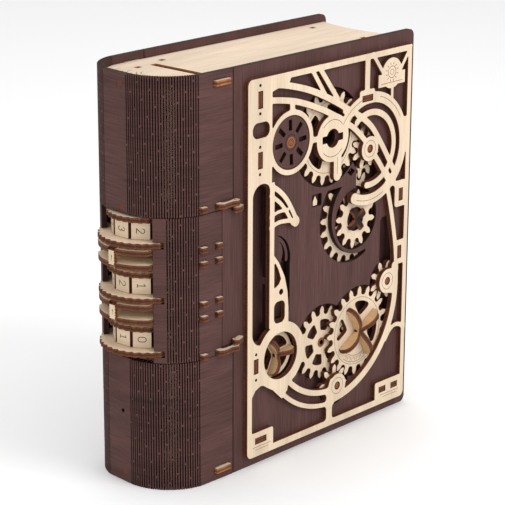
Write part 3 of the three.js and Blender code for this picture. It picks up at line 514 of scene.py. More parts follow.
def noise_on(nodes, links, scale, detail=4.0, roughness=0.6, distortion=0.0):
    """Noise over the grain coordinates, which are in millimetres: (across, along)."""
    uv = nodes.new("ShaderNodeUVMap")
    uv.uv_map = "grain"
    mapping = nodes.new("ShaderNodeMapping")
    mapping.inputs["Scale"].default_value = (scale[0], scale[1], 1.0)
    links.new(uv.outputs["UV"], mapping.inputs["Vector"])
    noise = nodes.new("ShaderNodeTexNoise")
    noise.inputs["Scale"].default_value = 1.0
    noise.inputs["Detail"].default_value = detail
    noise.inputs["Roughness"].default_value = roughness
    noise.inputs["Distortion"].default_value = distortion
    links.new(mapping.outputs["Vector"], noise.inputs["Vector"])
    return noise.outputs["Fac"]


def ramp(nodes, links, value, stops):
    node = nodes.new("ShaderNodeValToRGB")
    while len(node.color_ramp.elements) < len(stops):
        node.color_ramp.elements.new(0.5)
    for element, (position, colour) in zip(node.color_ramp.elements, stops):
        element.position = position
        element.color = (*colour, 1)
    links.new(value, node.inputs["Fac"])
    return node.outputs["Color"]


def mix(nodes, links, kind, factor, a, b):
    node = nodes.new("ShaderNodeMix")
    node.data_type = "RGBA"
    node.blend_type = kind
    for socket, value in ((node.inputs[0], factor), (node.inputs[6], a), (node.inputs[7], b)):
        if isinstance(value, bpy.types.NodeSocket):
            links.new(value, socket)
        else:
            socket.default_value = value if isinstance(value, float) else (*value, 1)
    return node.outputs[2]


def grey(value):
    return (value, value, value)


def srgb(r, g, b):
    """Linear colour from a 0 to 255 display colour, which is what the materials below are given."""
    return tuple(c / 3294.6 if c <= 10 else ((c / 255 + 0.055) / 1.055) ** 2.4 for c in (r, g, b))


def bump(nodes, links, shader, height, strength, distance=0.0004):
    node = nodes.new("ShaderNodeBump")
    node.inputs["Strength"].default_value = strength
    node.inputs["Distance"].default_value = distance
    links.new(height, node.inputs["Height"])
    links.new(node.outputs["Normal"], shader.inputs["Normal"])


def face_wood(name, light, dark, pore, pore_share=0.35, rough=(0.55, 0.8), bump_strength=0.25, stain=0.0):
    """Flat veneer: long fibres, slow change of tone, short dark pores."""
    light, dark, pore = srgb(*light), srgb(*dark), srgb(*pore)
    m, nodes, links, shader = blank(name)
    fibre = noise_on(nodes, links, (1.7, 0.035), 8.0, 0.62, 0.15)
    tone = noise_on(nodes, links, (0.085, 0.007), 3.0, 0.5, 0.6)
    pores = noise_on(nodes, links, (4.5, 0.33), 3.0, 0.55)
    base = ramp(nodes, links, fibre, [(0.30, dark), (0.62, light)])
    slow = ramp(nodes, links, tone, [(0.30, grey(0.80 - stain)), (0.70, grey(1.0))])
    base = mix(nodes, links, "MULTIPLY", 1.0, base, slow)
    specks = ramp(nodes, links, pores, [(0.60, grey(0.0)), (0.72, grey(pore_share))])
    base = mix(nodes, links, "MIX", specks, base, pore)
    links.new(base, shader.inputs["Base Color"])
    roughness = ramp(nodes, links, fibre, [(0.3, grey(rough[1])), (0.7, grey(rough[0]))])
    links.new(roughness, shader.inputs["Roughness"])
    shader.inputs["Specular IOR Level"].default_value = 0.2
    height = mix(nodes, links, "SUBTRACT", 1.0, fibre, specks)
    bump(nodes, links, shader, height, bump_strength)
    return m


def cut_wood(name, outer, core, soot, burn=0.5, rough=0.7):
    """Laser-cut edge: three plies, vertical burn lines and soot."""
    outer, core, soot = srgb(*outer), srgb(*core), srgb(*soot)
    m, nodes, links, shader = blank(name)
    uv = nodes.new("ShaderNodeUVMap")
    uv.uv_map = "grain"
    split = nodes.new("ShaderNodeSeparateXYZ")
    links.new(uv.outputs["UV"], split.inputs["Vector"])
    scaled = nodes.new("ShaderNodeMath")
    scaled.operation = "MULTIPLY"
    scaled.inputs[1].default_value = 1 / PLY
    links.new(split.outputs["Y"], scaled.inputs[0])
    plies = ramp(nodes, links, scaled.outputs[0], [
        (0.0, outer), (0.27, outer), (0.34, core), (0.62, core), (0.70, outer), (1.0, outer)])
    lines = noise_on(nodes, links, (1.6, 0.22), 5.0, 0.7)
    patches = noise_on(nodes, links, (0.12, 0.5), 3.0, 0.6)
    streaks = ramp(nodes, links, lines, [(0.35, grey(burn)), (0.65, grey(0.0))])
    base = mix(nodes, links, "MIX", streaks, plies, soot)
    slow = ramp(nodes, links, patches, [(0.3, grey(0.7)), (0.7, grey(1.15))])
    base = mix(nodes, links, "MULTIPLY", 1.0, base, slow)
    links.new(base, shader.inputs["Base Color"])
    shader.inputs["Roughness"].default_value = rough
    shader.inputs["Specular IOR Level"].default_value = 0.25
    bump(nodes, links, shader, lines, 0.35, 0.0003)
    return m


LIGHT_FACE = face_wood("birch_face", (231, 210, 184), (217, 193, 164), (184, 154, 120), 0.25)
PAGE_FACE = face_wood("page_face", (229, 209, 187), (211, 187, 161), (176, 146, 114), 0.35)
BROWN_FACE = face_wood("stained_face", (96, 65, 61), (72, 47, 44), (48, 28, 25), 0.5,
                       (0.62, 0.8), 0.3, 0.08)
TAN_FACE = face_wood("tan_face", (222, 184, 138), (200, 158, 110), (150, 104, 62), 0.4)
RED_FACE = face_wood("red_face", (158, 98, 66), (122, 68, 42), (70, 34, 20), 0.5)
TENON_FACE = face_wood("tenon_face", (112, 62, 48), (90, 46, 36), (56, 26, 20), 0.5)
BURNT_CUT = cut_wood("burnt_cut", (122, 70, 42), (84, 44, 26), (44, 22, 13), 0.6)
TOASTED_CUT = cut_wood("toasted_cut", (178, 118, 68), (122, 70, 36), (70, 34, 16), 0.5)
BROWN_CUT = cut_wood("stained_cut", (60, 30, 22), (38, 18, 13), (18, 8, 6), 0.6)
LINE = cut_wood("engraved_line", (120, 84, 52), (120, 84, 52), (80, 50, 28), 0.4)
DIGIT_LINE = cut_wood("engraved_digit", (70, 42, 26), (70, 42, 26), (44, 24, 14), 0.4)
DARK_LINE = cut_wood("engraved_stain", (48, 26, 20), (48, 26, 20), (28, 14, 10), 0.4)

NATURAL = [LIGHT_FACE, BURNT_CUT, LINE]
STAINED = [BROWN_FACE, BROWN_CUT, DARK_LINE]
RED = [RED_FACE, BROWN_CUT, DARK_LINE]
PAGES = [PAGE_FACE, TOASTED_CUT, LINE]
TAN = [TAN_FACE, BURNT_CUT, LINE]


# ---- spine shells --------------------------------------------------------------------
CORNER_Y = THICK / 2 - SPINE_R
CORNER_ARC = SPINE_R * math.pi / 2
SLIT_PITCH = 1.45
SLIT_W = 0.56
SLIT_PERIOD = 38.0
SLIT_BRIDGE = 1.2
SLIT_STAGGER = 0.382    # of a period, from one column to the next
TENON_X, TENON_Z = 1.8, 1.6     # half width and height of a tenon's end
# thickness and gap of the dark sheet of painted shade inside the spine
SHADE_SHEET = 0.3
SHADE_SHEET_GAP = 0.05
SLITS_FROM = 5.0
BACK_SLITS_FROM = 14.0
SLITS_TO = 46.0


def spine_s(x):
    """Length along the spine's outside from its middle to a point on the straight side."""
    return CORNER_Y + CORNER_ARC + SPINE_D - SPINE_R + x


def spine_place(s, z, w):
    """Bends a flat sheet (s along the spine's outline, front side positive) round the spine."""
    a = np.abs(s)
    turn = np.clip((a - CORNER_Y) / SPINE_R, 0, math.pi / 2)
    nx, ny = -np.cos(turn), -np.sin(turn)
    x = -(SPINE_D - SPINE_R) + (SPINE_R - w) * nx + np.maximum(a - CORNER_Y - CORNER_ARC, 0)
    y = -np.minimum(a, CORNER_Y) + (SPINE_R - w) * ny
    return np.stack([x, np.where(s >= 0, y, -y), z], 1)


def slit_columns(z0, z1, start, end):
    """Staggered rows of slits on both sides of the spine, and guide lines between them."""
    rows = max(1, round((z1 - z0) / SLIT_PERIOD))
    period = (z1 - z0) / rows
    half = (period - SLIT_BRIDGE) / 2
    slits, guides = [], []
    for k in range(int((end - start) / SLIT_PITCH) + 1):
        s = start + k * SLIT_PITCH
        for row in range(rows + 2):
            z = z0 + period * (row - 0.5 + SLIT_STAGGER * k % 1)
            if z - half < z1 and z + half > z0:
                slits.append(rectangle(s - SLIT_W / 2, s + SLIT_W / 2,
                                       max(z - half, z0 - 1), min(z + half, z1 + 1)))
        guides.append(((s + SLIT_PITCH / 2, z0 - 2), (s + SLIT_PITCH / 2, z1 + 2)))
    return slits, guides


def mirrored(loops):
    return [[(-a, b) for a, b in loop][::-1] for loop in loops]


def spine_shell(node, outline, z0, z1, notches, tenons=(),
                starts=((1, SLITS_FROM), (-1, BACK_SLITS_FROM))):
    """One section of the spine; a tenon's end shows red in the middle at each of the given heights."""
    cuts, lines = list(notches), []
    for side, start in starts:
        slits, guides = slit_columns(z0, z1, start, SLITS_TO)
        cuts += slits if side > 0 else mirrored(slits)
        lines += [((side * a, b), (side * c, d)) for (a, b), (c, d) in guides]
    marks = [rectangle(-TENON_X, TENON_X, (a + b) / 2 - TENON_Z, (a + b) / 2 + TENON_Z) for a, b in tenons]
    plate(node, [outline], PLY, spine_place, [BROWN_FACE, BROWN_CUT, TENON_FACE], notches=cuts,
          guides=lines, chamfer=0.09, engraved=marks, engrave_depth=0.12, grain_along_v=False,
          smooth_angle=20)


def side_slots(x_spans, z, sides=(1, -1)):
    """Slots through the spine's straight sides where ribs' tabs come out."""
    out = []
    for x0, x1 in x_spans:
        for side in sides:
            a, b = sorted((side * (spine_s(x0) - GAP), side * (spine_s(x1) + GAP)))
            out.append(rectangle(a, b, z[0] - GAP, z[1] + GAP))
    return out


PEGS = [(-25.1, -20.9), (-13.6, -9.4)]
CAP_TAB = [(-14.5, -3.2)]
TAB_X = -8.4            # the covers reach past the hinge line between TAB_Z
TAB_Z = (77.2, 154.4)
RIB_X = -9.2
WINDOW_Y = 19.5         # half width of the window for the wheels
RING_SLOT = 6.0         # how far the grip rings' slots run into the shell beside the window
WINDOW_RIM = 7.7        # plain strip beside the window
RIB_HIGH = span("rib_upper", "z")
RIB_LOW = span("rib_lower", "z")
SEPARATORS = [span(f"separator_{i}", "z") for i in (1, 2, 3, 4)]
CAP_HIGH = span("end_plate_top", "z")
CAP_LOW = span("end_plate_bottom", "z")
WHEEL_Z = [span(f"wheel_{i}_grip_ring", "z")[0] for i in (1, 2, 3)]


def build_spine():
    edge = spine_s(span("spine_shell_upper", "x")[1])
    z0, z1 = span("spine_shell_upper", "z")
    slots = side_slots(CAP_TAB, CAP_HIGH) + side_slots(PEGS, RIB_HIGH)
    spine_shell("spine_shell_upper", rectangle(-edge, edge, z0, z1), z0, z1, slots, (CAP_HIGH, RIB_HIGH))
    # dark sheet above the top plate, so that no light comes through the slits: painted shade, a sheet that
    # stands in for the dark inside of the spine
    bends = [((SLIT_PITCH * k, 0), (SLIT_PITCH * k, HEIGHT)) for k in range(-33, 34)]
    plate("spine_shell_upper", [rectangle(-SLITS_TO, SLITS_TO, CAP_HIGH[1] + 0.1, z1 - 0.2)], SHADE_SHEET,
          lambda s, z, w: spine_place(s, z, w + PLY - (SHADE_SHEET + SHADE_SHEET_GAP)),
          [BROWN_CUT, BROWN_CUT, LINE], guides=bends, chamfer=0.02, grain_along_v=False,
          smooth_angle=20, name="spine_shade_sheet_look")

    z0, top = span("spine_shell_lower", "z")
    z1 = span("spine_shell_middle_front", "z")[0] - 0.3
    tongue = spine_s(TAB_X)
    outline = [(-edge, z0), (edge, z0), (edge, top), (tongue, top),
               (tongue, z1), (-tongue, z1), (-tongue, top), (-edge, top)]
    pin_hole = disc_loop((-1.2, 42), 1.1, 20)
    slots = side_slots(CAP_TAB, CAP_LOW) + [pin_hole]
    spine_shell("spine_shell_lower", outline, z0, z1, slots, (CAP_LOW,))

    z0, z1 = span("spine_shell_middle_front", "z")
    near = CORNER_Y + SPINE_R * math.asin((WINDOW_Y - CORNER_Y) / SPINE_R)
    far = spine_s(span("spine_shell_middle_front", "x")[1])
    reach = near + RING_SLOT
    outline = [(near, z0), (far, z0), (far, z1), (near, z1)]
    for z in WHEEL_Z[::-1]:
        upper, lower = z + PLY + GAP, z - GAP
        outline += [(near, upper), (reach, upper), (reach, lower), (near, lower)]
    notches = [loop for z in SEPARATORS + [RIB_LOW] for loop in side_slots(PEGS, z, (1,))]
    start = near + WINDOW_RIM
    spine_shell("spine_shell_middle_front", outline, z0, z1, notches, starts=((1, start),))
    spine_shell("spine_shell_middle_back", mirrored([outline])[0], z0, z1, mirrored(notches),
                starts=((-1, start),))


# ---- ribs, separators and end plates ----------------------------------------------------
def spine_inside(x_end, steps=24):
    """Outline of the spine's inside, open side closed at x_end, counter-clockwise."""
    inset = PLY + GAP
    r = SPINE_R - inset
    half = []
    for i in range(steps + 1):
        a = math.pi / 2 * i / steps
        half.append((-(SPINE_D - SPINE_R) - r * math.cos(a), CORNER_Y + r * math.sin(a)))
    half.append((x_end, THICK / 2 - inset))
    return [(x, -y) for x, y in half] + half[::-1]


def side_tab(x0, x1, side):
    """Tab that comes out through the shell or cover, side 1 at the back and -1 at the front."""
    return round_box(x0, x1, *sorted((side * TAB_FROM, side * TAB_OUT)), 0.35)


def rib_field(tabs):
    field = Field(-58, 3, -40, 40).add(polygon(spine_inside(RIB_X)))
    for x0, x1, side in tabs:
        field.add(side_tab(x0, x1, side))
    return field


def build_ribs():
    shaft_hole = circle((AXIS_X, 0), SHAFT_HOLE_R)
    hook = polygon([(-12.9, -30), (-12.9, -37.0), (-11.3, -38.6), (-8.0, -38.4), (-4.4, -37.9),
                    (-1.4, -38.7), (-0.4, -38.7), (-0.4, -36.3), (-1.6, -36.4), (-4.3, -37.0),
                    (-7.6, -37.1), (-10.0, -36.4), (-10.0, -30)], 0.6)
    for node in ("rib_upper", "rib_lower"):
        field = rib_field([(*PEGS[0], -1), (*PEGS[0], 1), (*PEGS[1], 1)])
        field.add(hook, 0.8).add(circle(HINGE, EYE_R), 0.6).cut(circle(HINGE, PIN_HOLE_R))
        level_plate(node, field.cut(shaft_hole).loops(), NATURAL)
    for i in range(len(SEPARATORS)):
        field = rib_field([(*peg, side) for peg in PEGS for side in (-1, 1)])
        field.add(both(circle((AXIS_X, 0), GRIP_R - 0.15),
                       round_box(-70, AXIS_X - 8, -WINDOW_Y + GAP, WINDOW_Y - GAP, 0.3)))
        field.cut(round_box(AXIS_X - GRIP_R - 3, AXIS_X - GRIP_R + 2.3, -2.7, 2.7, 0.1))
        level_plate(f"separator_{i + 1}", field.cut(shaft_hole).loops(), NATURAL)


FORE_EDGE_X = 149.5
FORE_EDGE_Y = 31.5
FORE_EDGE_HOLLOW = 5.7


def fore_edge(inset, steps=32):
    ys = np.linspace(-FORE_EDGE_Y, FORE_EDGE_Y, steps + 1)
    return [(FORE_EDGE_X - inset - FORE_EDGE_HOLLOW * (1 - (y / FORE_EDGE_Y) ** 2), y) for y in ys]


def engraved_arcs():
    """Faint rings like a log's, engraved round the spine end of the end plates."""
    lines = []
    for k, r in enumerate((5.2, 7.6, 10.2, 12.6, 15.4, 17.8, 20.2)):
        start = 96 + 17 * (k % 3)
        end = start + 120 + 22 * (k % 2)
        a = np.radians(np.linspace(start, end, 24))
        line = []
        for reach, angles in ((r + 0.2, a), (r - 0.2, a[::-1])):
            line += [(-24 + reach * math.cos(t), 2 + reach * 1.05 * math.sin(t)) for t in angles]
        lines.append(line)
    return lines


def build_end_plates():
    half = spine_inside(FORE_EDGE_X)
    outline = half[:len(half) // 2] + fore_edge(0) + half[len(half) // 2:]
    field = Field(-47, FORE_EDGE_X, -38, 38, 0.3).add(polygon(outline))
    for side in (-1, 1):
        field.add(side_tab(*CAP_TAB[0], side))
    holes = [rectangle(-9.8, -5.2, -17.4, 17.4)]
    half_x, half_y = 1.9, 1.5
    for x, y in ((130.1, 23.7), (127.7, -17.4), (-18.6, 17.5), (3.7, 21.9)):
        holes.append(rectangle(x - half_x, x + half_x, y - half_y, y + half_y))
    # both are engraved on the outside
    for node, z, place in (
            ("end_plate_top", CAP_HIGH, lambda u, v, w: np.stack([u, v, CAP_HIGH[1] - w], 1)),
            ("end_plate_bottom", CAP_LOW, level_place(CAP_LOW[0]))):
        plate(node, field.loops(0.02), z[1] - z[0], place, PAGES, notches=holes, engraved=engraved_arcs(),
              engrave_depth=0.15, grain_along_v=False)


PAGE_PITCH = 1.7
PAGE_SLIT_W = 0.36
PAGE_ROWS = 8
PAGE_BRIDGE = 2.6


def build_fore_edge():
    """Bent wall whose long slits read as the edges of pages."""
    z0, z1 = span("fore_edge_wall", "z")
    outer = np.array(fore_edge(0.3, 96))
    steps = np.hypot(*np.diff(outer, axis=0).T)
    length = np.concatenate([[0], np.cumsum(steps)])
    total = length[-1]

    def place(s, z, w):
        x, y = np.interp(s, length, outer[:, 0]), np.interp(s, length, outer[:, 1])
        return np.stack([x - w, y, z], 1)
    slits, guides = [], []
    period = (z1 - z0) / PAGE_ROWS
    half = (period - PAGE_BRIDGE) / 2
    for k in range(int(total / PAGE_PITCH)):
        s = 1.6 + PAGE_PITCH * k
        for row in range(PAGE_ROWS + 1):
            z = z0 + period * (row + 0.5 * (k % 2))
            if z - half < z1:
                slits.append(rectangle(s - PAGE_SLIT_W / 2, s + PAGE_SLIT_W / 2,
                                       max(z - half, z0 - 1), min(z + half, z1 + 1)))
        guides.append(((s + PAGE_PITCH / 2, z0 - 2), (s + PAGE_PITCH / 2, z1 + 2)))
    plate("fore_edge_wall", [rectangle(0, total, z0, z1)], PLY, place, PAGES, notches=slits,
          guides=guides, chamfer=0.08, smooth_angle=20)


def build_spine_wall():
    z0, z1 = span("spine_wall", "z")
    x0, x1 = span("spine_wall", "x")
    wide, narrow, step = FORE_EDGE_Y, 17.1, 1.8
    body = polygon([(-wide, z0 + step), (-narrow, z0 + step), (-narrow, z0), (narrow, z0),
                    (narrow, z0 + step), (wide, z0 + step), (wide, z1 - step), (narrow, z1 - step),
                    (narrow, z1), (-narrow, z1), (-narrow, z1 - step), (-wide, z1 - step)])
    field = Field(-32, 32, z0, z1, 0.4).add(body)
    field.cut(round_box(-45, -27, 71.2, 160.4, 0.5))
    for z in WHEEL_Z:
        field.cut(round_box(-14.5, 14.5, z - 0.6, z + PLY + 0.5, 0.3))
    plate("spine_wall", field.loops(0.02), x1 - x0, lambda u, v, w: np.stack([x0 + w, u, v], 1), PAGES)


# ---- number wheels ------------------------------------------------------------------------
DIGIT_LINE_W = 0.42


def bars(*points):
    """Straight strokes of a digit, from each point to the next."""
    return [stroke([a, b], DIGIT_LINE_W) for a, b in zip(points, points[1:])]


def bow(x, y, r, start, end):
    return [arc((x, y), r, DIGIT_LINE_W, start, end)]


def tail(*points):
    return [stroke(list(points), DIGIT_LINE_W)]


DIGIT_SHAPES = [
    bow(0, 0.9, 1.35, -5, 185) + bow(0, -0.9, 1.35, 175, 365)
    + bars((-1.35, 0.9), (-1.35, -0.9)) + bars((1.35, 0.9), (1.35, -0.9)),
    bars((-0.9, 1.35), (0.1, 2.25), (0.1, -2.2)) + bars((-0.8, -2.2), (1.0, -2.2)),
    bow(0, 1.0, 1.25, -35, 170) + bars((1.02, 0.28), (-1.25, -2.2), (1.3, -2.2)),
    bow(0, 1.15, 1.08, -80, 160) + bow(0, -1.1, 1.18, -160, 85),
    bars((0.6, -2.25), (0.6, 2.25), (-1.35, -0.8), (1.35, -0.8)),
    bars((1.1, 2.2), (-0.9, 2.2), (-1.05, 0.35)) + bow(0, -0.75, 1.45, -145, 130),
    bow(0, -0.85, 1.35, 0, 359) + tail((-1.3, -0.6), (-0.9, 0.9), (0.6, 2.2)),
    bars((-1.2, 2.2), (1.25, 2.2), (-0.4, -2.2)),
    bow(0, 1.2, 1.0, 0, 359) + bow(0, -1.05, 1.22, 0, 359),
    bow(0, 0.85, 1.35, 0, 359) + tail((1.3, 0.6), (0.9, -0.9), (-0.6, -2.2)),
]


def digit_loops(number):
    """Outlines of a digit lying on its side, its top pointing along +x."""
    field = Field(-2, 2, -3, 3, 0.07, 0.5)
    for shape in DIGIT_SHAPES[number]:
        field.add(shape)
    return [[(y, -x) for x, y in loop] for loop in field.loops(0.012)]


def scalloped(r, depth, count):
    """Edge with shallow finger hollows, as a closed outline."""
    steps = count * 10
    out = []
    for i in range(steps):
        a = 2 * math.pi * i / steps
        dip = 0.5 - 0.5 * math.cos(a * count)
        out.append((AXIS_X + (r - depth * dip) * math.cos(a), (r - depth * dip) * math.sin(a)))
    return out


def build_tiles(node, first, digits):
    """Ring of number tiles; the one with the number first looks straight out of the spine."""
    middle = np.array([AXIS_X, 0, sum(span(node, "z")) / 2])
    outline = rectangle(-TILE_W / 2, TILE_W / 2, -TILE_H / 2, TILE_H / 2)
    for k in range(DIGITS):
        angle = math.pi + k * 2 * math.pi / DIGITS
        out = np.array([math.cos(angle), math.sin(angle), 0])
        side = np.array([-math.sin(angle), math.cos(angle), 0])

        def place(u, v, w):
            return middle + np.outer(TILE_FACE_R - w, out) + np.outer(u, side) + np.outer(v, [0, 0, 1])
        plate(node, [outline], TILE_THICK, place, [LIGHT_FACE, BURNT_CUT, DIGIT_LINE],
              engraved=digits[(first - k) % DIGITS], engrave_depth=0.15, grain_along_v=False,
              name=node.replace("digit_drum", f"tile_{k}"))


def build_wheels():
    digits = [digit_loops(n) for n in range(DIGITS)]
    bore = disc_loop((AXIS_X, 0), BORE_R, 32)[::-1]
    core = [disc_loop((AXIS_X, 0), TILE_FACE_R - TILE_THICK - 0.2, 40), bore]
    for i, first in enumerate((1, 2, 3)):
        wheel = f"wheel_{i + 1}"
        level_plate(f"{wheel}_grip_ring", [scalloped(GRIP_R, 1.1, 36), bore], NATURAL)
        level_plate(f"{wheel}_top_ring", [scalloped(TOP_RING_R, 0.9, 30), bore], NATURAL)
        drum = f"{wheel}_digit_drum"
        build_tiles(drum, first, digits)
        level_plate(drum, core, [BROWN_CUT, BROWN_CUT, LINE], name=f"{wheel}_drum_core")


def build_markers():
    """Small wavy-sided plates that point at the numbers in line."""
    half, wave, waves, steps = 2.5, 0.55, 5, 40
    for node in ("index_marker_1", "index_marker_2"):
        x0 = span(node, "x")[0]
        z0, z1 = span(node, "z")
        outline = []
        for k in range(steps + 1):
            dip = wave * abs(math.sin(math.pi * waves * k / steps))
            outline.append((half - dip, z0 + (z1 - z0) * k / steps))
        outline += [(-x, z) for x, z in outline[::-1]]
        middle = (z0 + z1) / 2
        mark = Field(-2, 2, z0, z1, 0.07, 0.5)
        mark.add(stroke([(0, z0 + 2.4), (0, middle + 1.4)], 0.3))
        mark.add(stroke([(0, middle + 1.4), (0.7, middle + 0.4)], 0.3))
        plate(node, [outline], TILE_THICK, lambda u, v, w: np.stack([x0 + w, -u, v], 1),
              [LIGHT_FACE, TOASTED_CUT, DIGIT_LINE], engraved=mark.loops(0.01), engrave_depth=0.1,
              chamfer=0.06)


# ---- covers -------------------------------------------------------------------------------
def cover_grid(step):
    return Field(TAB_X, COVER_W, 0, HEIGHT, step)


def cover_field(step):
    """A cover: round corners at the fore edge, square ones at the hinge, and a tab past the hinge line."""
    r = 4.0
    body = polygon([(r + 0.3, r), (COVER_W - r, r), (COVER_W - r, HEIGHT - r), (r + 0.3, HEIGHT - r)], r)
    field = cover_grid(step).add(body).add(round_box(0.3, 40, 0, HEIGHT, 0.2))
    return field.add(round_box(TAB_X, 20, *TAB_Z, 0.2))


C_GEAR = centre("axle_centre")
WHEEL = centre("axle_large_gear")
IDLER = centre("axle_idler")
SIDE_LOW = centre("axle_pinion_low")
SIDE_HIGH = centre("axle_pinion_high")
DISC = centre("axle_spoked_disc")
TRI = centre("tri_wheel")
KEY = (77.8, 178.6)
KEY_AWAY = MODULE * (TEETH["key"] + TEETH["idler_small"]) / 2 + BACKLASH_GAP
KEY_RISE = 0.352        # radians, from the idler to the key gear
KEY_GEAR = (IDLER[0] - KEY_AWAY * math.cos(KEY_RISE), IDLER[1] + KEY_AWAY * math.sin(KEY_RISE))
LEFT_AWAY = MODULE_LOW * (TEETH["back"] + TEETH["left"]) / 2 + BACKLASH_GAP
LEFT_DROP = math.radians(1)
LEFT = (C_GEAR[0] - LEFT_AWAY * math.cos(LEFT_DROP), C_GEAR[1] - LEFT_AWAY * math.sin(LEFT_DROP))
ARC_C = (79.5, 79.0)    # centre of the lattice's big arc

RAIL_TABS = {
    "rail_left": ((16.7, 19.7), [(205.9, 214.7), (172.7, 181.3)]),
    "rail_left_low": ((14.0, 17.0), [(55.7, 63.7)]),
    "rail_right": ((138.4, 141.4), [(130.3, 137.2), (94.8, 102.0)]),
    "rail_top": ((195.0, 198.0), [(103.3, 112.0)]),
    "rail_bottom": ((13.6, 16.6), [(15.3, 23.9), (124.1, 129.7), (135.3, 140.7)]),
}
FLAT_RAILS = ("rail_top", "rail_bottom")
RAIL_FRONT = -31.8


def tab_slots():
    out = []
    for name, (across, tabs) in RAIL_TABS.items():
        for tab in tabs:
            x, z = (tab, across) if name in FLAT_RAILS else (across, tab)
            out.append(rectangle(x[0] - GAP, x[1] + GAP, z[0] - GAP, z[1] + GAP))
    return out


def panel_recess():
    recess = cover_grid(0.3).add(round_box(29.5, 46, 82, 120, 3)).add(circle((32, 117), 14), 1)
    recess.cut(circle((30.5, 120), 9.5))
    recess.cut(polygon([(14, 100), (30.5, 110.5), (30.5, 129.5), (14, 134)]))
    return recess.cut(arc((29.5, 117), 13.6, 2.2, -8, 92))


def panel_wells():
    """Openings in the panel that show the gears."""
    wells = cover_grid(0.3)
    wells.add(circle(C_GEAR, 27.4)).add(circle((LEFT[0] - 3.2, LEFT[1] + 1.4), 23), 1)
    wells.add(both(round_box(54, 104, 20, 57, 3), circle(ARC_C, 51.5)), 1)
    wells.add(both(arc(C_GEAR, 26.7, 13.6, -80, 22), circle(ARC_C, 58)))
    wells.add(circle(SIDE_LOW, 12.7), 1).add(circle(SIDE_HIGH, 12.7), 1)
    crescent = both(circle((99, 129.1), 27.95), round_box(60, 112, 90, 147.5, 0))
    wells.add(less(crescent, circle((105.5, 129), 24))).add(circle((102.9, 126.1), 18.15))
    wells.add(circle((77.3, 178.8), 28.3)).add(circle(IDLER, 13), 1)
    wells.add(round_box(102.6, 122, 141.5, 161, 2))
    wells.add(polygon([(97.8, 157.2), (94.4, 155), (97.9, 152.4), (101.4, 154.8)]))
    wells.add(round_box(64.4, 72.4, 140.6, 147.6, 1)).add(circle(TRI, 14.6))
    return wells.add(round_box(13.5, 26.5, 73, 162, 5)).add(round_box(125.2, 136.8, 86, 121.8, 3))


def build_covers():
    back = span("back_cover", "y")[1]
    plate("back_cover", cover_field(0.4).loops(0.02), PLY, lambda u, v, w: np.stack([u, back - w, v], 1),
          STAINED, chamfer=0.15)
    panel = cover_field(0.3).cut_field(panel_wells()).cut_field(panel_recess())
    panel.cut(circle(DISC, AXLE_R + GAP))
    for z in ((77.1, 80.4), (152.0, 155.3)):
        panel.cut(round_box(2.2, 6.4, *z, 0.1))
    plate("front_cover_panel", panel.loops(0.02), PLY, cover_place(span("front_cover_panel", "y")[0]),
          STAINED, notches=tab_slots(), chamfer=0.15)


def build_hinges():
    arm = polygon([(0.3, -38.8), (3.1, -38.3), (5.5, -36.9), (5.5, -29.6), (3.1, -29.6), (3.1, -36.0),
                   (0.3, -36.0)], 0.55)
    lug = Field(-3, 7, -41, -28, 0.12).add(arm).add(circle(HINGE, EYE_R), 0.6)
    lug.cut(circle(HINGE, PIN_HOLE_R))
    for node in ("cover_lug_upper", "cover_lug_lower"):
        level_plate(node, lug.loops(), NATURAL, chamfer=0.08)
    for node in ("hinge_pin_upper", "hinge_pin_lower"):
        level_plate(node, [disc_loop(HINGE, PIN_R, 20)], [TAN_FACE, TAN_FACE, LINE], chamfer=0.15)


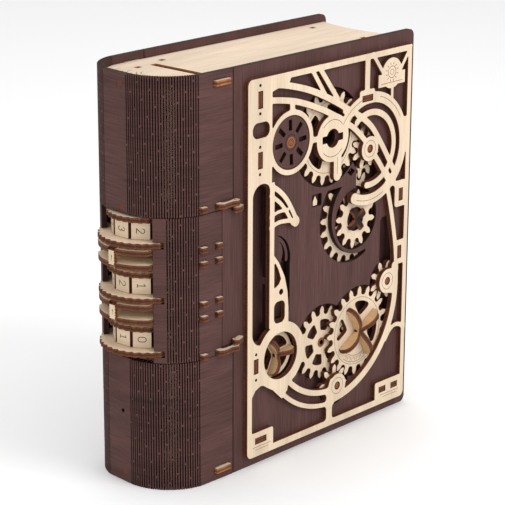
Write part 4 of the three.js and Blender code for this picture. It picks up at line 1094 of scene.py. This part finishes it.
# ---- lattice ---------------------------------------------------------------------------
def lattice_field():
    f = Field(8.4, 147, 5.8, 222.2, 0.25)
    f.add(round_box(8.4, 147, 5.8, 222.2, 3.4)).cut(round_box(27.6, 143.5, 9.9, 218.6, 1))
    f.cut(polygon([(13.4, 21.4), (27.4, 21.4), (27.4, 44.6), (24, 45.3), (19.5, 46), (15.8, 44.6),
                   (13.4, 41.5)], 1.1))
    f.cut(round_box(12.4, 27.4, 71.4, 163.6, 7.4)).cut(round_box(12.2, 25.4, 189.4, 197.9, 3.8))
    r = 0.6         # fillet where a beam meets the rest
    # upper left: two beams that sweep down to the idler's ring, and their struts
    f.add(round_box(26, 29.8, 120, 163, 0.2))
    f.add(stroke([(26, 217.4), (41, 214.4), (60, 208.4), (80, 199), (92.5, 191.8)], 3.8), r)
    f.add(stroke([(24, 208.9), (36, 207.1), (50, 203.7), (70, 195.9), (89, 186)], 3.6), r)
    f.add(polygon([(27, 213), (41.5, 216.6), (42.8, 219.5), (27, 219.5)]), 0.3)
    f.add(stroke([(59.5, 220.5), (70.5, 205)], 2.9), r)
    f.add(stroke([(65.8, 220.5), (81.5, 200.5)], 3.3), r)
    f.add(polygon([(42, 198), (46, 198), (45.6, 206.5), (41.6, 206.5)]), r)
    f.add(round_box(105, 109.4, 198, 219.5, 0.2), r)
    f.add(round_box(100.6, 114, 193.4, 201.6, 1.6), 0.8)
    # idler's double ring, open at the lower left
    f.add(arc(IDLER, 29.95, 6.4, -116, 146), r)
    f.add(arc(IDLER, 21.3, 3.8, -97, 125), r)
    f.add(circle(IDLER, 7.4))
    f.add(stroke([(88, 192.5), (98, 189), (106, 184), (113, 178), (121, 167.5), (128, 157),
                  (134, 147.5)], 3.7), r)
    f.add(stroke([(84, 187.5), (93, 183.2), (100, 178), (107, 171.3)], 3.5), r)
    f.add(stroke([(115, 162), (121, 154.4), (128, 144.5)], 3.6), r)
    # key boss and its pointer
    f.add(circle(KEY, 13.6), 0.8).add(round_box(79, 85.4, 153.2, 172, 3.1), 0.8)
    f.add(stroke([(57, 180.7), (67, 180.4)], 3.4), r)
    f.add(circle(DISC, 18.2), 1.2)
    # plate with a round top at the upper right
    f.add(round_box(116.9, 140.9, 200.6, 208.2, 0.5)).add(circle((129, 207.8), 9.0))
    f.add(stroke([(111.8, 221), (121.8, 208.2)], 2.5), r).add(stroke([(146, 221), (136.2, 208.2)], 2.5), r)
    f.add(stroke([(129.6, 203), (129.6, 190)], 2.3))
    # right side
    f.add(polygon([(137, 180.3), (145, 180.3), (145, 159), (138, 159)]), 0.8)
    f.add(round_box(134.2, 146, 126.4, 142.2, 2.2), 0.8)
    f.add(round_box(137.2, 146, 91, 106, 0.8), 0.8)
    f.add(stroke([(126.5, 143), (130.8, 128), (134.2, 113), (136.3, 101), (137.4, 88)], 3.5), r)
    f.add(stroke([(127, 148.5), (131, 143.4), (136, 140.6), (141, 140.6)], 3.3), 1.4)
    f.add(circle(SIDE_HIGH, 7.4), 0.8)
    f.add(polygon([(131, 88.8), (138.4, 90), (138.2, 79), (135.4, 74.4), (130, 76)], 0.8), 0.8)
    # big arc round the lower gears
    f.add(arc(ARC_C, 57.25, 4.7, -90, 12), r)
    f.add(arc(ARC_C, 58.95, 2.9, -147, -88), r)
    f.add(arc(ARC_C, 51.05, 3.5, -138, -86), r)
    f.add(circle(SIDE_LOW, 7.4), 0.8)
    f.add(polygon([(75.9, 8), (80.7, 8), (80.7, 22), (87, 24), (79.4, 34), (78, 30), (75.9, 27)], 0.2), 2.2)
    # ring of the three-arm knob and the shapes that hold it
    f.add(circle(TRI, 19.8), 1.0)
    f.add(polygon([(26, 121.5), (29.4, 121.5), (33.8, 116), (38.6, 107), (41, 98), (42, 88), (42, 79),
                   (26, 79)]))
    f.add(polygon([(10, 66), (28, 66), (30, 50), (22, 47.6), (16.5, 47.0), (12.6, 43.6), (12.2, 40),
                   (10, 40)]))
    f.add(polygon([(21, 47.8), (26.2, 45.2), (31, 40.2), (37, 34.6), (41.5, 38.6), (42.6, 43.4), (49, 46),
                   (40, 50), (25, 52)]), 0.8)
    # pointed wing at the left
    f.add(stroke([(27, 161.2), (33, 157.4), (38.5, 152.4), (43, 146.2), (46.6, 140),
                  (48.6, 136.4)], 3.1), r)
    f.add(stroke([(27, 155.6), (34, 150.4), (39.4, 144.4), (44.6, 136.4)], 2.5), r)
    f.add(circle((47.3, 136.9), 3.15), 0.5)
    f.add(stroke([(27, 143.6), (33, 145.2), (40.6, 145)], 2.1), 0.7)
    f.add(stroke([(27, 137.4), (34, 139.2), (44.5, 138.0)], 2.6), 0.7)
    # corner plates
    f.add(round_box(9, 30, 7, 20.4, 1.6)).add(round_box(120, 146, 7, 20.4, 1.4))
    f.add(stroke([(129, 46.6), (132, 50.4), (136, 53), (140.4, 53), (145.5, 50.6)], 2.8), 1.2)
    # holes
    f.cut(circle(DISC, 15.1)).cut(circle(KEY, 5.3))
    f.cut(round_box(KEY[0] - 8.7, KEY[0] + 8.7, KEY[1] - 2, KEY[1] + 2, 0.3))
    f.cut(circle(TRI, 13.7)).cut(circle((35.7, 98.6), 1.6)).cut(round_box(30, 38.8, 80.8, 93.4, 3.2))
    f.cut(polygon([(30.6, 102.6), (33.4, 104), (34.8, 106.4), (32.8, 111.8), (30.6, 115.4)], 0.6))
    for c in (IDLER, SIDE_HIGH, SIDE_LOW):
        f.cut(circle(c, AXLE_R + 0.35))
    f.cut(polygon([(94.6, 186.4), (96.4, 188), (98, 186.4), (96.3, 184.8)], 0.4))
    for x, z in ((17.9, 218.2), (17.9, 202.8), (17.9, 184.4), (17.9, 169.3), (15.5, 66.8), (15.5, 51.8)):
        f.cut(circle((x, z), 0.8))
    return f


def ring_line(c, r, width=0.3, sides=64):
    return [disc_loop(c, r + width / 2, sides), disc_loop(c, r - width / 2, sides)]


def arc_line(c, r, start, end, width=0.3):
    a = np.radians(np.linspace(start, end, max(6, int(abs(end - start) / 4))))
    line = []
    for reach, angles in ((r + width / 2, a), (r - width / 2, a[::-1])):
        line += [(c[0] + reach * math.cos(t), c[1] + reach * math.sin(t)) for t in angles]
    return line


def tick_line(c, r0, r1, degrees, half_width):
    """Short engraved line that points away from c."""
    a = math.radians(degrees)
    out = np.array([math.cos(a), math.sin(a)])
    side = np.array([-out[1], out[0]]) * half_width
    inner, outer = c + out * r0, c + out * r1
    return [tuple(inner - side), tuple(outer - side), tuple(outer + side), tuple(inner + side)]


def lattice_lines():
    """Engraved lines on the lattice; a plain ring and rays stand on the plate at the top right."""
    lines = [arc_line(IDLER, 30.4, *ends) for ends in ((28, 75), (96, 143), (-112, -66))]
    for c in (SIDE_LOW, SIDE_HIGH, IDLER):
        lines += ring_line(c, 4.9, 0.26)
    lines += [rectangle(81.95, 82.25, 157, 167)]
    mark = (129, 208.4)
    lines += ring_line(mark, 3.4, 0.35) + ring_line(mark, 1.5, 0.3, 32)
    lines += [tick_line(mark, 4.3, 5.6, 30 * k + 15, 0.22) for k in range(12)]
    lines.append(rectangle(119.4, 138.4, 202.3, 202.6))
    for x0, x1 in ((125.5, 142.5), (13, 28)):
        lines += [rectangle(x0, x1, 11.4, 11.65), rectangle(x0 + 2, x1 - 2, 9.8, 10.05)]
    return lines + [arc_line(KEY, 10.6, *ends, 0.35) for ends in ((42, 138), (222, 318))]


def build_lattice():
    cover_plate("lattice_panel", lattice_field().loops(), NATURAL, notches=tab_slots(),
                engraved=lattice_lines(), engrave_depth=0.15)


# ---- inner plate and rails ------------------------------------------------------------------
def build_inner():
    front = span("inner_plate", "y")[1] - PLY
    key_hole = disc_loop(KEY_GEAR, 5.6, 40)
    holes = [disc_loop(c, AXLE_R + GAP, 24) for c in (WHEEL, IDLER, C_GEAR, SIDE_LOW, SIDE_HIGH, DISC)]
    holes += [disc_loop(LEFT, AXLE_HOLE_R, 24), disc_loop(TRI, 3.1, 32), key_hole]
    for name in RAIL_TABS:
        (x0, x1), (z0, z1) = span(name, "x"), span(name, "z")
        holes.append(rectangle(x0 - GAP, x1 + GAP, z0 - GAP, z1 + GAP))
    outline = Field(11, 143, 14, 216, 0.4).add(round_box(11, 143, 14, 216, 3)).loops(0.02)
    plate("inner_plate", outline, PLY, cover_place(front), STAINED, notches=holes)
    sleeve = [disc_loop(KEY_GEAR, 9.0, 56), key_hole[::-1]]
    tip = [(65.6, 141), (69.2, 141), (69.3, 143.6), (67.4, 147), (65.5, 143.6)]
    for loops, face, materials, name in ((sleeve, -34.8, STAINED, "key_sleeve_look"),
                                         ([tip], -34.4, NATURAL, "lever_tip_look")):
        plate("inner_plate", loops, front - face, cover_place(face), materials, name=name)


def build_rails():
    for name, (_, tabs) in RAIL_TABS.items():
        x, y, z = (span(name, axis) for axis in "xyz")
        flat = name in FLAT_RAILS
        along = x if flat else z
        field = Field(*along, *y, 0.2).add(round_box(*along, RAIL_FRONT, y[1], 0.2))
        for tab in tabs:
            field.add(round_box(*tab, *y, 0.25))
        if name == "rail_right":
            field.cut(round_box(47.5, 53.1, -25.5, -10, 0.1))       # way for the bolt
        place = level_place(z[0]) if flat else upright_place(x[0])
        plate(name, field.loops(), PLY, place, [BROWN_FACE, BURNT_CUT, LINE], chamfer=0.1)


# ---- gears ----------------------------------------------------------------------------------
def direction(a, b):
    return math.degrees(math.atan2(b[1] - a[1], b[0] - a[0]))


def mesh_phase(driver, driver_gear, driver_phase, driven, driven_gear):
    """Angle of a tooth of the driven gear, so that it stands in a gap of its driver."""
    towards = direction(driver, driven)
    offset = (towards - driver_phase) / (360 / TEETH[driver_gear])
    return towards + 180 + (offset + 0.5) * (360 / TEETH[driven_gear])


# half a tooth: share of the pitch angle from its middle, height over the pitch circle
TOOTH = [(0.50, -3.0), (0.43, -2.96), (0.36, -2.76), (0.29, -2.35), (0.245, -1.8), (0.24, -1.1),
         (0.225, 0.0), (0.17, 0.95), (0.10, 1.7), (0.04, 2.24), (0.0, 2.36)]
TOOTH_REACH = 2.6


def gear_shape(c, teeth, phase, module):
    """Gear with leaf-shaped teeth and round gaps, as a distance."""
    pitch = module * teeth / 2
    step = 2 * math.pi / teeth
    flank = curve_through([((pitch + h) * math.sin(t * step), (pitch + h) * math.cos(t * step))
                           for t, h in TOOTH], 3)
    line = [(-x, y) for x, y in flank] + flank[::-1][1:]

    def distance(x, y):
        u, v = x - c[0], y - c[1]
        a = (np.arctan2(v, u) - math.radians(phase) + step / 2) % step - step / 2
        r = np.hypot(u, v)
        px, py = r * np.sin(a), r * np.cos(a)
        d = line_distance(px, py, line)
        return np.where(is_inside(px, py, line + [(0.0, 0.0)]), -d, d)
    return around(c, pitch + TOOTH_REACH), distance


def gear_field(c, gear, phase, module=MODULE):
    shape = gear_shape(c, TEETH[gear], phase, module)
    return Field(*shape[0], 0.2).add(shape)


def build_gears():
    y1 = span("key_gear", "y")
    y2 = span("large_gear", "y")
    front, back = cover_place(y1[0]), cover_place(y2[0])
    key_phase, wheel_phase, crown_phase, centre_phase, left_phase = 259.3, 11.8, 21.6, 85.8, 20.8

    def gear(node, field, place, **more):
        plate(node, field.loops(), y1[1] - y1[0], place, NATURAL, **more)

    f = gear_field(KEY_GEAR, "key", key_phase).cut(circle(KEY_GEAR, 9.1))
    for middle, half in ((188, 61), (68, 26), (344, 34)):
        f.cut(wedge(KEY_GEAR, 12.4, 18.7, middle - half, middle + half, 0, 1.6))
    gear("key_gear", f, front, engraved=ring_line(KEY_GEAR, 20.4, 0.25))

    hole = circle(IDLER, AXLE_HOLE_R)
    small_phase = mesh_phase(KEY_GEAR, "key", key_phase, IDLER, "idler_small")
    gear("idler_gears", gear_field(IDLER, "idler_small", small_phase).cut(hole), front)
    collar = [disc_loop(IDLER, 6, 40), disc_loop(IDLER, AXLE_HOLE_R, 28)[::-1]]
    plate("idler_gears", collar, y2[0] - y1[1], cover_place(y1[1]), NATURAL, name="idler_collar_look")
    big_phase = mesh_phase(WHEEL, "wheel", wheel_phase, IDLER, "idler_big")
    f = gear_field(IDLER, "idler_big", big_phase).cut(hole)
    for k in range(4):
        f.cut(wedge(IDLER, 7, 11.8, 90 * k - 5, 90 * k + 85, 4.4, 1))
    gear("idler_gears", f, back, name="idler_big_gear_look")

    f = gear_field(WHEEL, "wheel", wheel_phase).cut(circle(WHEEL, AXLE_HOLE_R))
    for k in range(4):
        f.cut(wedge(WHEEL, 7.5, 18.8, crown_phase + 90 * k, crown_phase + 90 * k + 90, 5.2, 2))
    gear("large_gear", f, back)
    gear("crown_gear", gear_field(WHEEL, "crown", crown_phase).cut(circle(WHEEL, 7)), front)

    hole = circle(C_GEAR, AXLE_HOLE_R)
    f = gear_field(C_GEAR, "centre", centre_phase, MODULE_LOW).cut(hole)
    for start in (30, 120, 300):
        f.cut(wedge(C_GEAR, 8.6, 18, start, start + 90, 12.4, 2.6))
    lines = [arc_line(C_GEAR, r, 231, 299) for r in (15.0, 18.9)] + ring_line(C_GEAR, 20.3, 0.25)
    lines += [tick_line(C_GEAR, 15.7, 18.2 if k % 3 else 17.2, 233 + 4.6 * k, 0.16) for k in range(15)]
    gear("centre_gear", f, front, engraved=lines)
    back_phase = mesh_phase(LEFT, "left", left_phase, C_GEAR, "back")
    gear("centre_pinion", gear_field(C_GEAR, "back", back_phase, MODULE_LOW).cut(hole), back)

    f = gear_field(LEFT, "left", left_phase, MODULE_LOW)
    for k in range(6):
        f.cut(wedge(LEFT, 7.3, 13.7, 60 * k - 4, 60 * k + 34, 0, 1.3))
    gear("left_gear", f, back)
    cover_plate("left_gear", [disc_loop(LEFT, AXLE_R, 28)], RED, chamfer=0.1, name="left_gear_axle_look")
    face = span("left_gear", "y")[0]
    plate("left_gear", [disc_loop(LEFT, 2.9, 12)], y2[0] - face, cover_place(face), RED, chamfer=0.08,
          engraved=ring_line(LEFT, 1.6, 0.3, 24), name="left_gear_cap_look")

    for node, c in (("pinion_low", SIDE_LOW), ("pinion_high", SIDE_HIGH)):
        phase = mesh_phase(C_GEAR, "centre", centre_phase, c, "side")
        gear(node, gear_field(c, "side", phase, MODULE_LOW).cut(circle(c, AXLE_HOLE_R)), front)

    for name in ("idler", "large_gear", "centre", "pinion_low", "pinion_high", "spoked_disc"):
        node = "axle_" + name
        cover_plate(node, [disc_loop(centre(node), AXLE_R, 28)], RED, chamfer=0.25,
                    engraved=ring_line(centre(node), 1.0, 0.25, 20))


# ---- knobs ----------------------------------------------------------------------------------
ARM_GAP = 0.15          # the arms start this far from the middle
# an arm's upper edge: share of its length, share of its height
ARM_PROFILE = [(0.16, 0.62), (0.36, 0.9), (0.58, 1), (0.8, 0.92), (0.93, 0.66), (1, 0.3)]


def arm_outline(length, height):
    """Half of a knob plate: highest in the middle of the arm, low at the centre and the tip."""
    top = curve_through([(ARM_GAP, height * 0.42)] + [(length * t, height * h) for t, h in ARM_PROFILE], 5)
    return [(ARM_GAP, 0.0), (length, 0.0)] + top[::-1]


def knob(node, c, arms, base, length, height, thick, hub, materials):
    """Plates standing on a wheel, crossing in the middle."""
    for k, turn in enumerate(arms):
        a = math.radians(turn)
        out = np.array([math.cos(a), 0, math.sin(a)])
        side = np.array([-math.sin(a), 0, math.cos(a)])

        def place(u, v, w):
            origin = np.array([c[0], base, c[1]])
            return origin + np.outer(u, out) - np.outer(v, [0, 1, 0]) + np.outer(w - thick / 2, side)
        plate(node, [arm_outline(length, height)], thick, place, materials, name=f"{node}_arm_{k}",
              chamfer=0.2)
    plate(node, [disc_loop(c, hub, 32)], height * 0.36, cover_place(base - height * 0.36), materials,
          name=f"{node}_hub", chamfer=0.2)


def build_gear_knobs():
    face = span("centre_gear", "y")[0]
    knob("centre_knob", C_GEAR, (30, 120, 210, 300), face - 0.15, 17.8, KNOB_H, 3.2, 3.0, TAN)
    knob("crown_knob", WHEEL, (33, 123, 213, 303), face - 0.2, 7.9, 2.8, 2.9, 2.6, RED)
    for loop, depth, front, materials, name in (
            (disc_loop(WHEEL, 2.6, 28), 2.9, face - 0.3, RED, "crown_knob_post_look"),
            (disc_loop(WHEEL, 6.7, 56), 0.8, face + 2.0, STAINED, "crown_knob_disc_look")):
        plate("crown_knob", [loop], depth, cover_place(front), materials, name=name)


def build_bolt_knob():
    """Three-arm knob on its wheel, with the shaft and pinion that drive the bolt."""
    y0, y1 = span("tri_wheel", "y")
    knob("tri_knob", TRI, (5, 125, 245), y0 - 0.25, 12.4, KNOB_H - 0.6, 3.0, 2.6, TAN)
    wheel = Field(*around(TRI, 14), 0.15).add(circle(TRI, 13.3)).cut(circle(TRI, 10.6))
    for k in range(3):
        wheel.add(stroke([TRI, polar(TRI, 12, 5 + 120 * k)], 4.4), 1.4)
    plate("tri_wheel", wheel.loops(), PLY, cover_place(y0), NATURAL)
    plate("tri_wheel", [disc_loop(TRI, 3.0, 32)], y1 - y0 - PLY, cover_place(y0 + PLY), TAN,
          name="tri_shaft_look")
    tooth = ((-0.34, 4.3), (-0.18, 6), (-0.06, 7.2), (0.06, 7.2), (0.18, 6), (0.34, 4.3))
    pinion = [polar(TRI, r, 270 + 45 * (i + part)) for i in range(8) for part, r in tooth]
    plate("tri_wheel", [pinion], PLY, cover_place(y1 - PLY), TAN, name="tri_pinion_look")


def build_spoked_disc():
    y0, y1 = span("spoked_disc", "y")
    back = 0.2
    f = Field(*around(DISC, 15), 0.15).add(circle(DISC, 14.8))
    for k in range(8):
        a = math.radians(3 + 45 * k)
        slot = []
        for r, s in ((7.1, -0.9), (12.4, -0.9), (12.4, 0.9), (7.1, 0.9)):
            x, z = polar(DISC, r, 3 + 45 * k)
            slot.append((x + s * math.sin(a), z - s * math.cos(a)))
        f.cut(polygon(slot, 0.4))
    f.cut(circle(DISC, AXLE_HOLE_R))
    plate("spoked_disc", f.loops(), y1 - y0 - back, cover_place(y0), STAINED,
          engraved=ring_line(DISC, 4.4))
    hole = disc_loop(DISC, AXLE_HOLE_R, 28)[::-1]
    # thin dark sheet at the back of the disc: painted shade, so that its slots show dark where the gear
    # behind would show
    plate("spoked_disc", [disc_loop(DISC, 14.6, 64), hole], back, cover_place(y1 - back),
          [BROWN_CUT, BROWN_CUT, LINE], chamfer=0.03, name="spoked_disc_shade_sheet_look")
    plate("spoked_disc", [disc_loop(DISC, 3.3, 14), hole], 0.08, cover_place(y0 - 0.06), RED,
          chamfer=0.02, name="spoked_disc_hub_look")


build_spine()
build_ribs()
build_end_plates()
build_fore_edge()
build_spine_wall()
build_wheels()
build_markers()
build_covers()
build_hinges()
build_lattice()
build_inner()
build_rails()
build_gears()
build_gear_knobs()
build_bolt_knob()
build_spoked_disc()

# these two keep their CAD shapes
for node in ("bolt", "wheel_shaft"):
    for slot in frame["nodes"][node].material_slots:
        slot.material = TAN_FACE


# ---- stage, light and camera ------------------------------------------------------------------
def build_stage():
    bpy.ops.mesh.primitive_plane_add(size=12, location=(0, 0, 0))
    floor = bpy.context.object
    floor.name = "floor"
    m, _, _, shader = blank("floor_paper")
    shader.inputs["Base Color"].default_value = (0.94, 0.94, 0.94, 1)
    shader.inputs["Roughness"].default_value = 0.9
    floor.data.materials.append(m)

    world = bpy.data.worlds.new("studio")
    world.use_nodes = True
    world.node_tree.nodes["Background"].inputs["Color"].default_value = (1, 1, 1, 1)
    world.node_tree.nodes["Background"].inputs["Strength"].default_value = 0.85
    bpy.context.scene.world = world

    def lamp(name, place, size, power, target=(0.0, 0.0, 0.11)):
        data = bpy.data.lights.new(name, "AREA")
        data.energy, data.size = power, size
        light = bpy.data.objects.new(name, data)
        bpy.context.scene.collection.objects.link(light)
        light.location = place
        light.rotation_euler = (Vector(target) - Vector(place)).to_track_quat("-Z", "Y").to_euler()
    lamp("key_light", (0.25, -1.1, 1.0), 0.7, 8)
    lamp("left_light", (-1.2, -0.3, 0.7), 0.9, 1.6)
    lamp("top_light", (0.1, 0.3, 1.4), 0.9, 4)


def build_camera():
    """Long lens, standing off the spine's front corner and a little above the book."""
    data = bpy.data.cameras.new("camera")
    data.sensor_width, data.lens = 36.0, 141.0
    camera = bpy.data.objects.new("camera", data)
    bpy.context.scene.collection.objects.link(camera)
    place = Vector((-738.8, -732.8, 446.4)) + Vector(OFFSET)
    look = Vector((0.7006, 0.6482, -0.2982))
    camera.location = place * MM
    camera.rotation_mode = "QUATERNION"
    roll = Matrix.Rotation(math.radians(-0.22), 4, look)
    turn = look.to_track_quat("-Z", "Y").to_matrix().to_4x4()
    camera.rotation_quaternion = (roll @ turn).to_quaternion()
    bpy.context.scene.camera = camera


build_stage()
build_camera()
bpy.context.scene.view_settings.view_transform = "Standard"
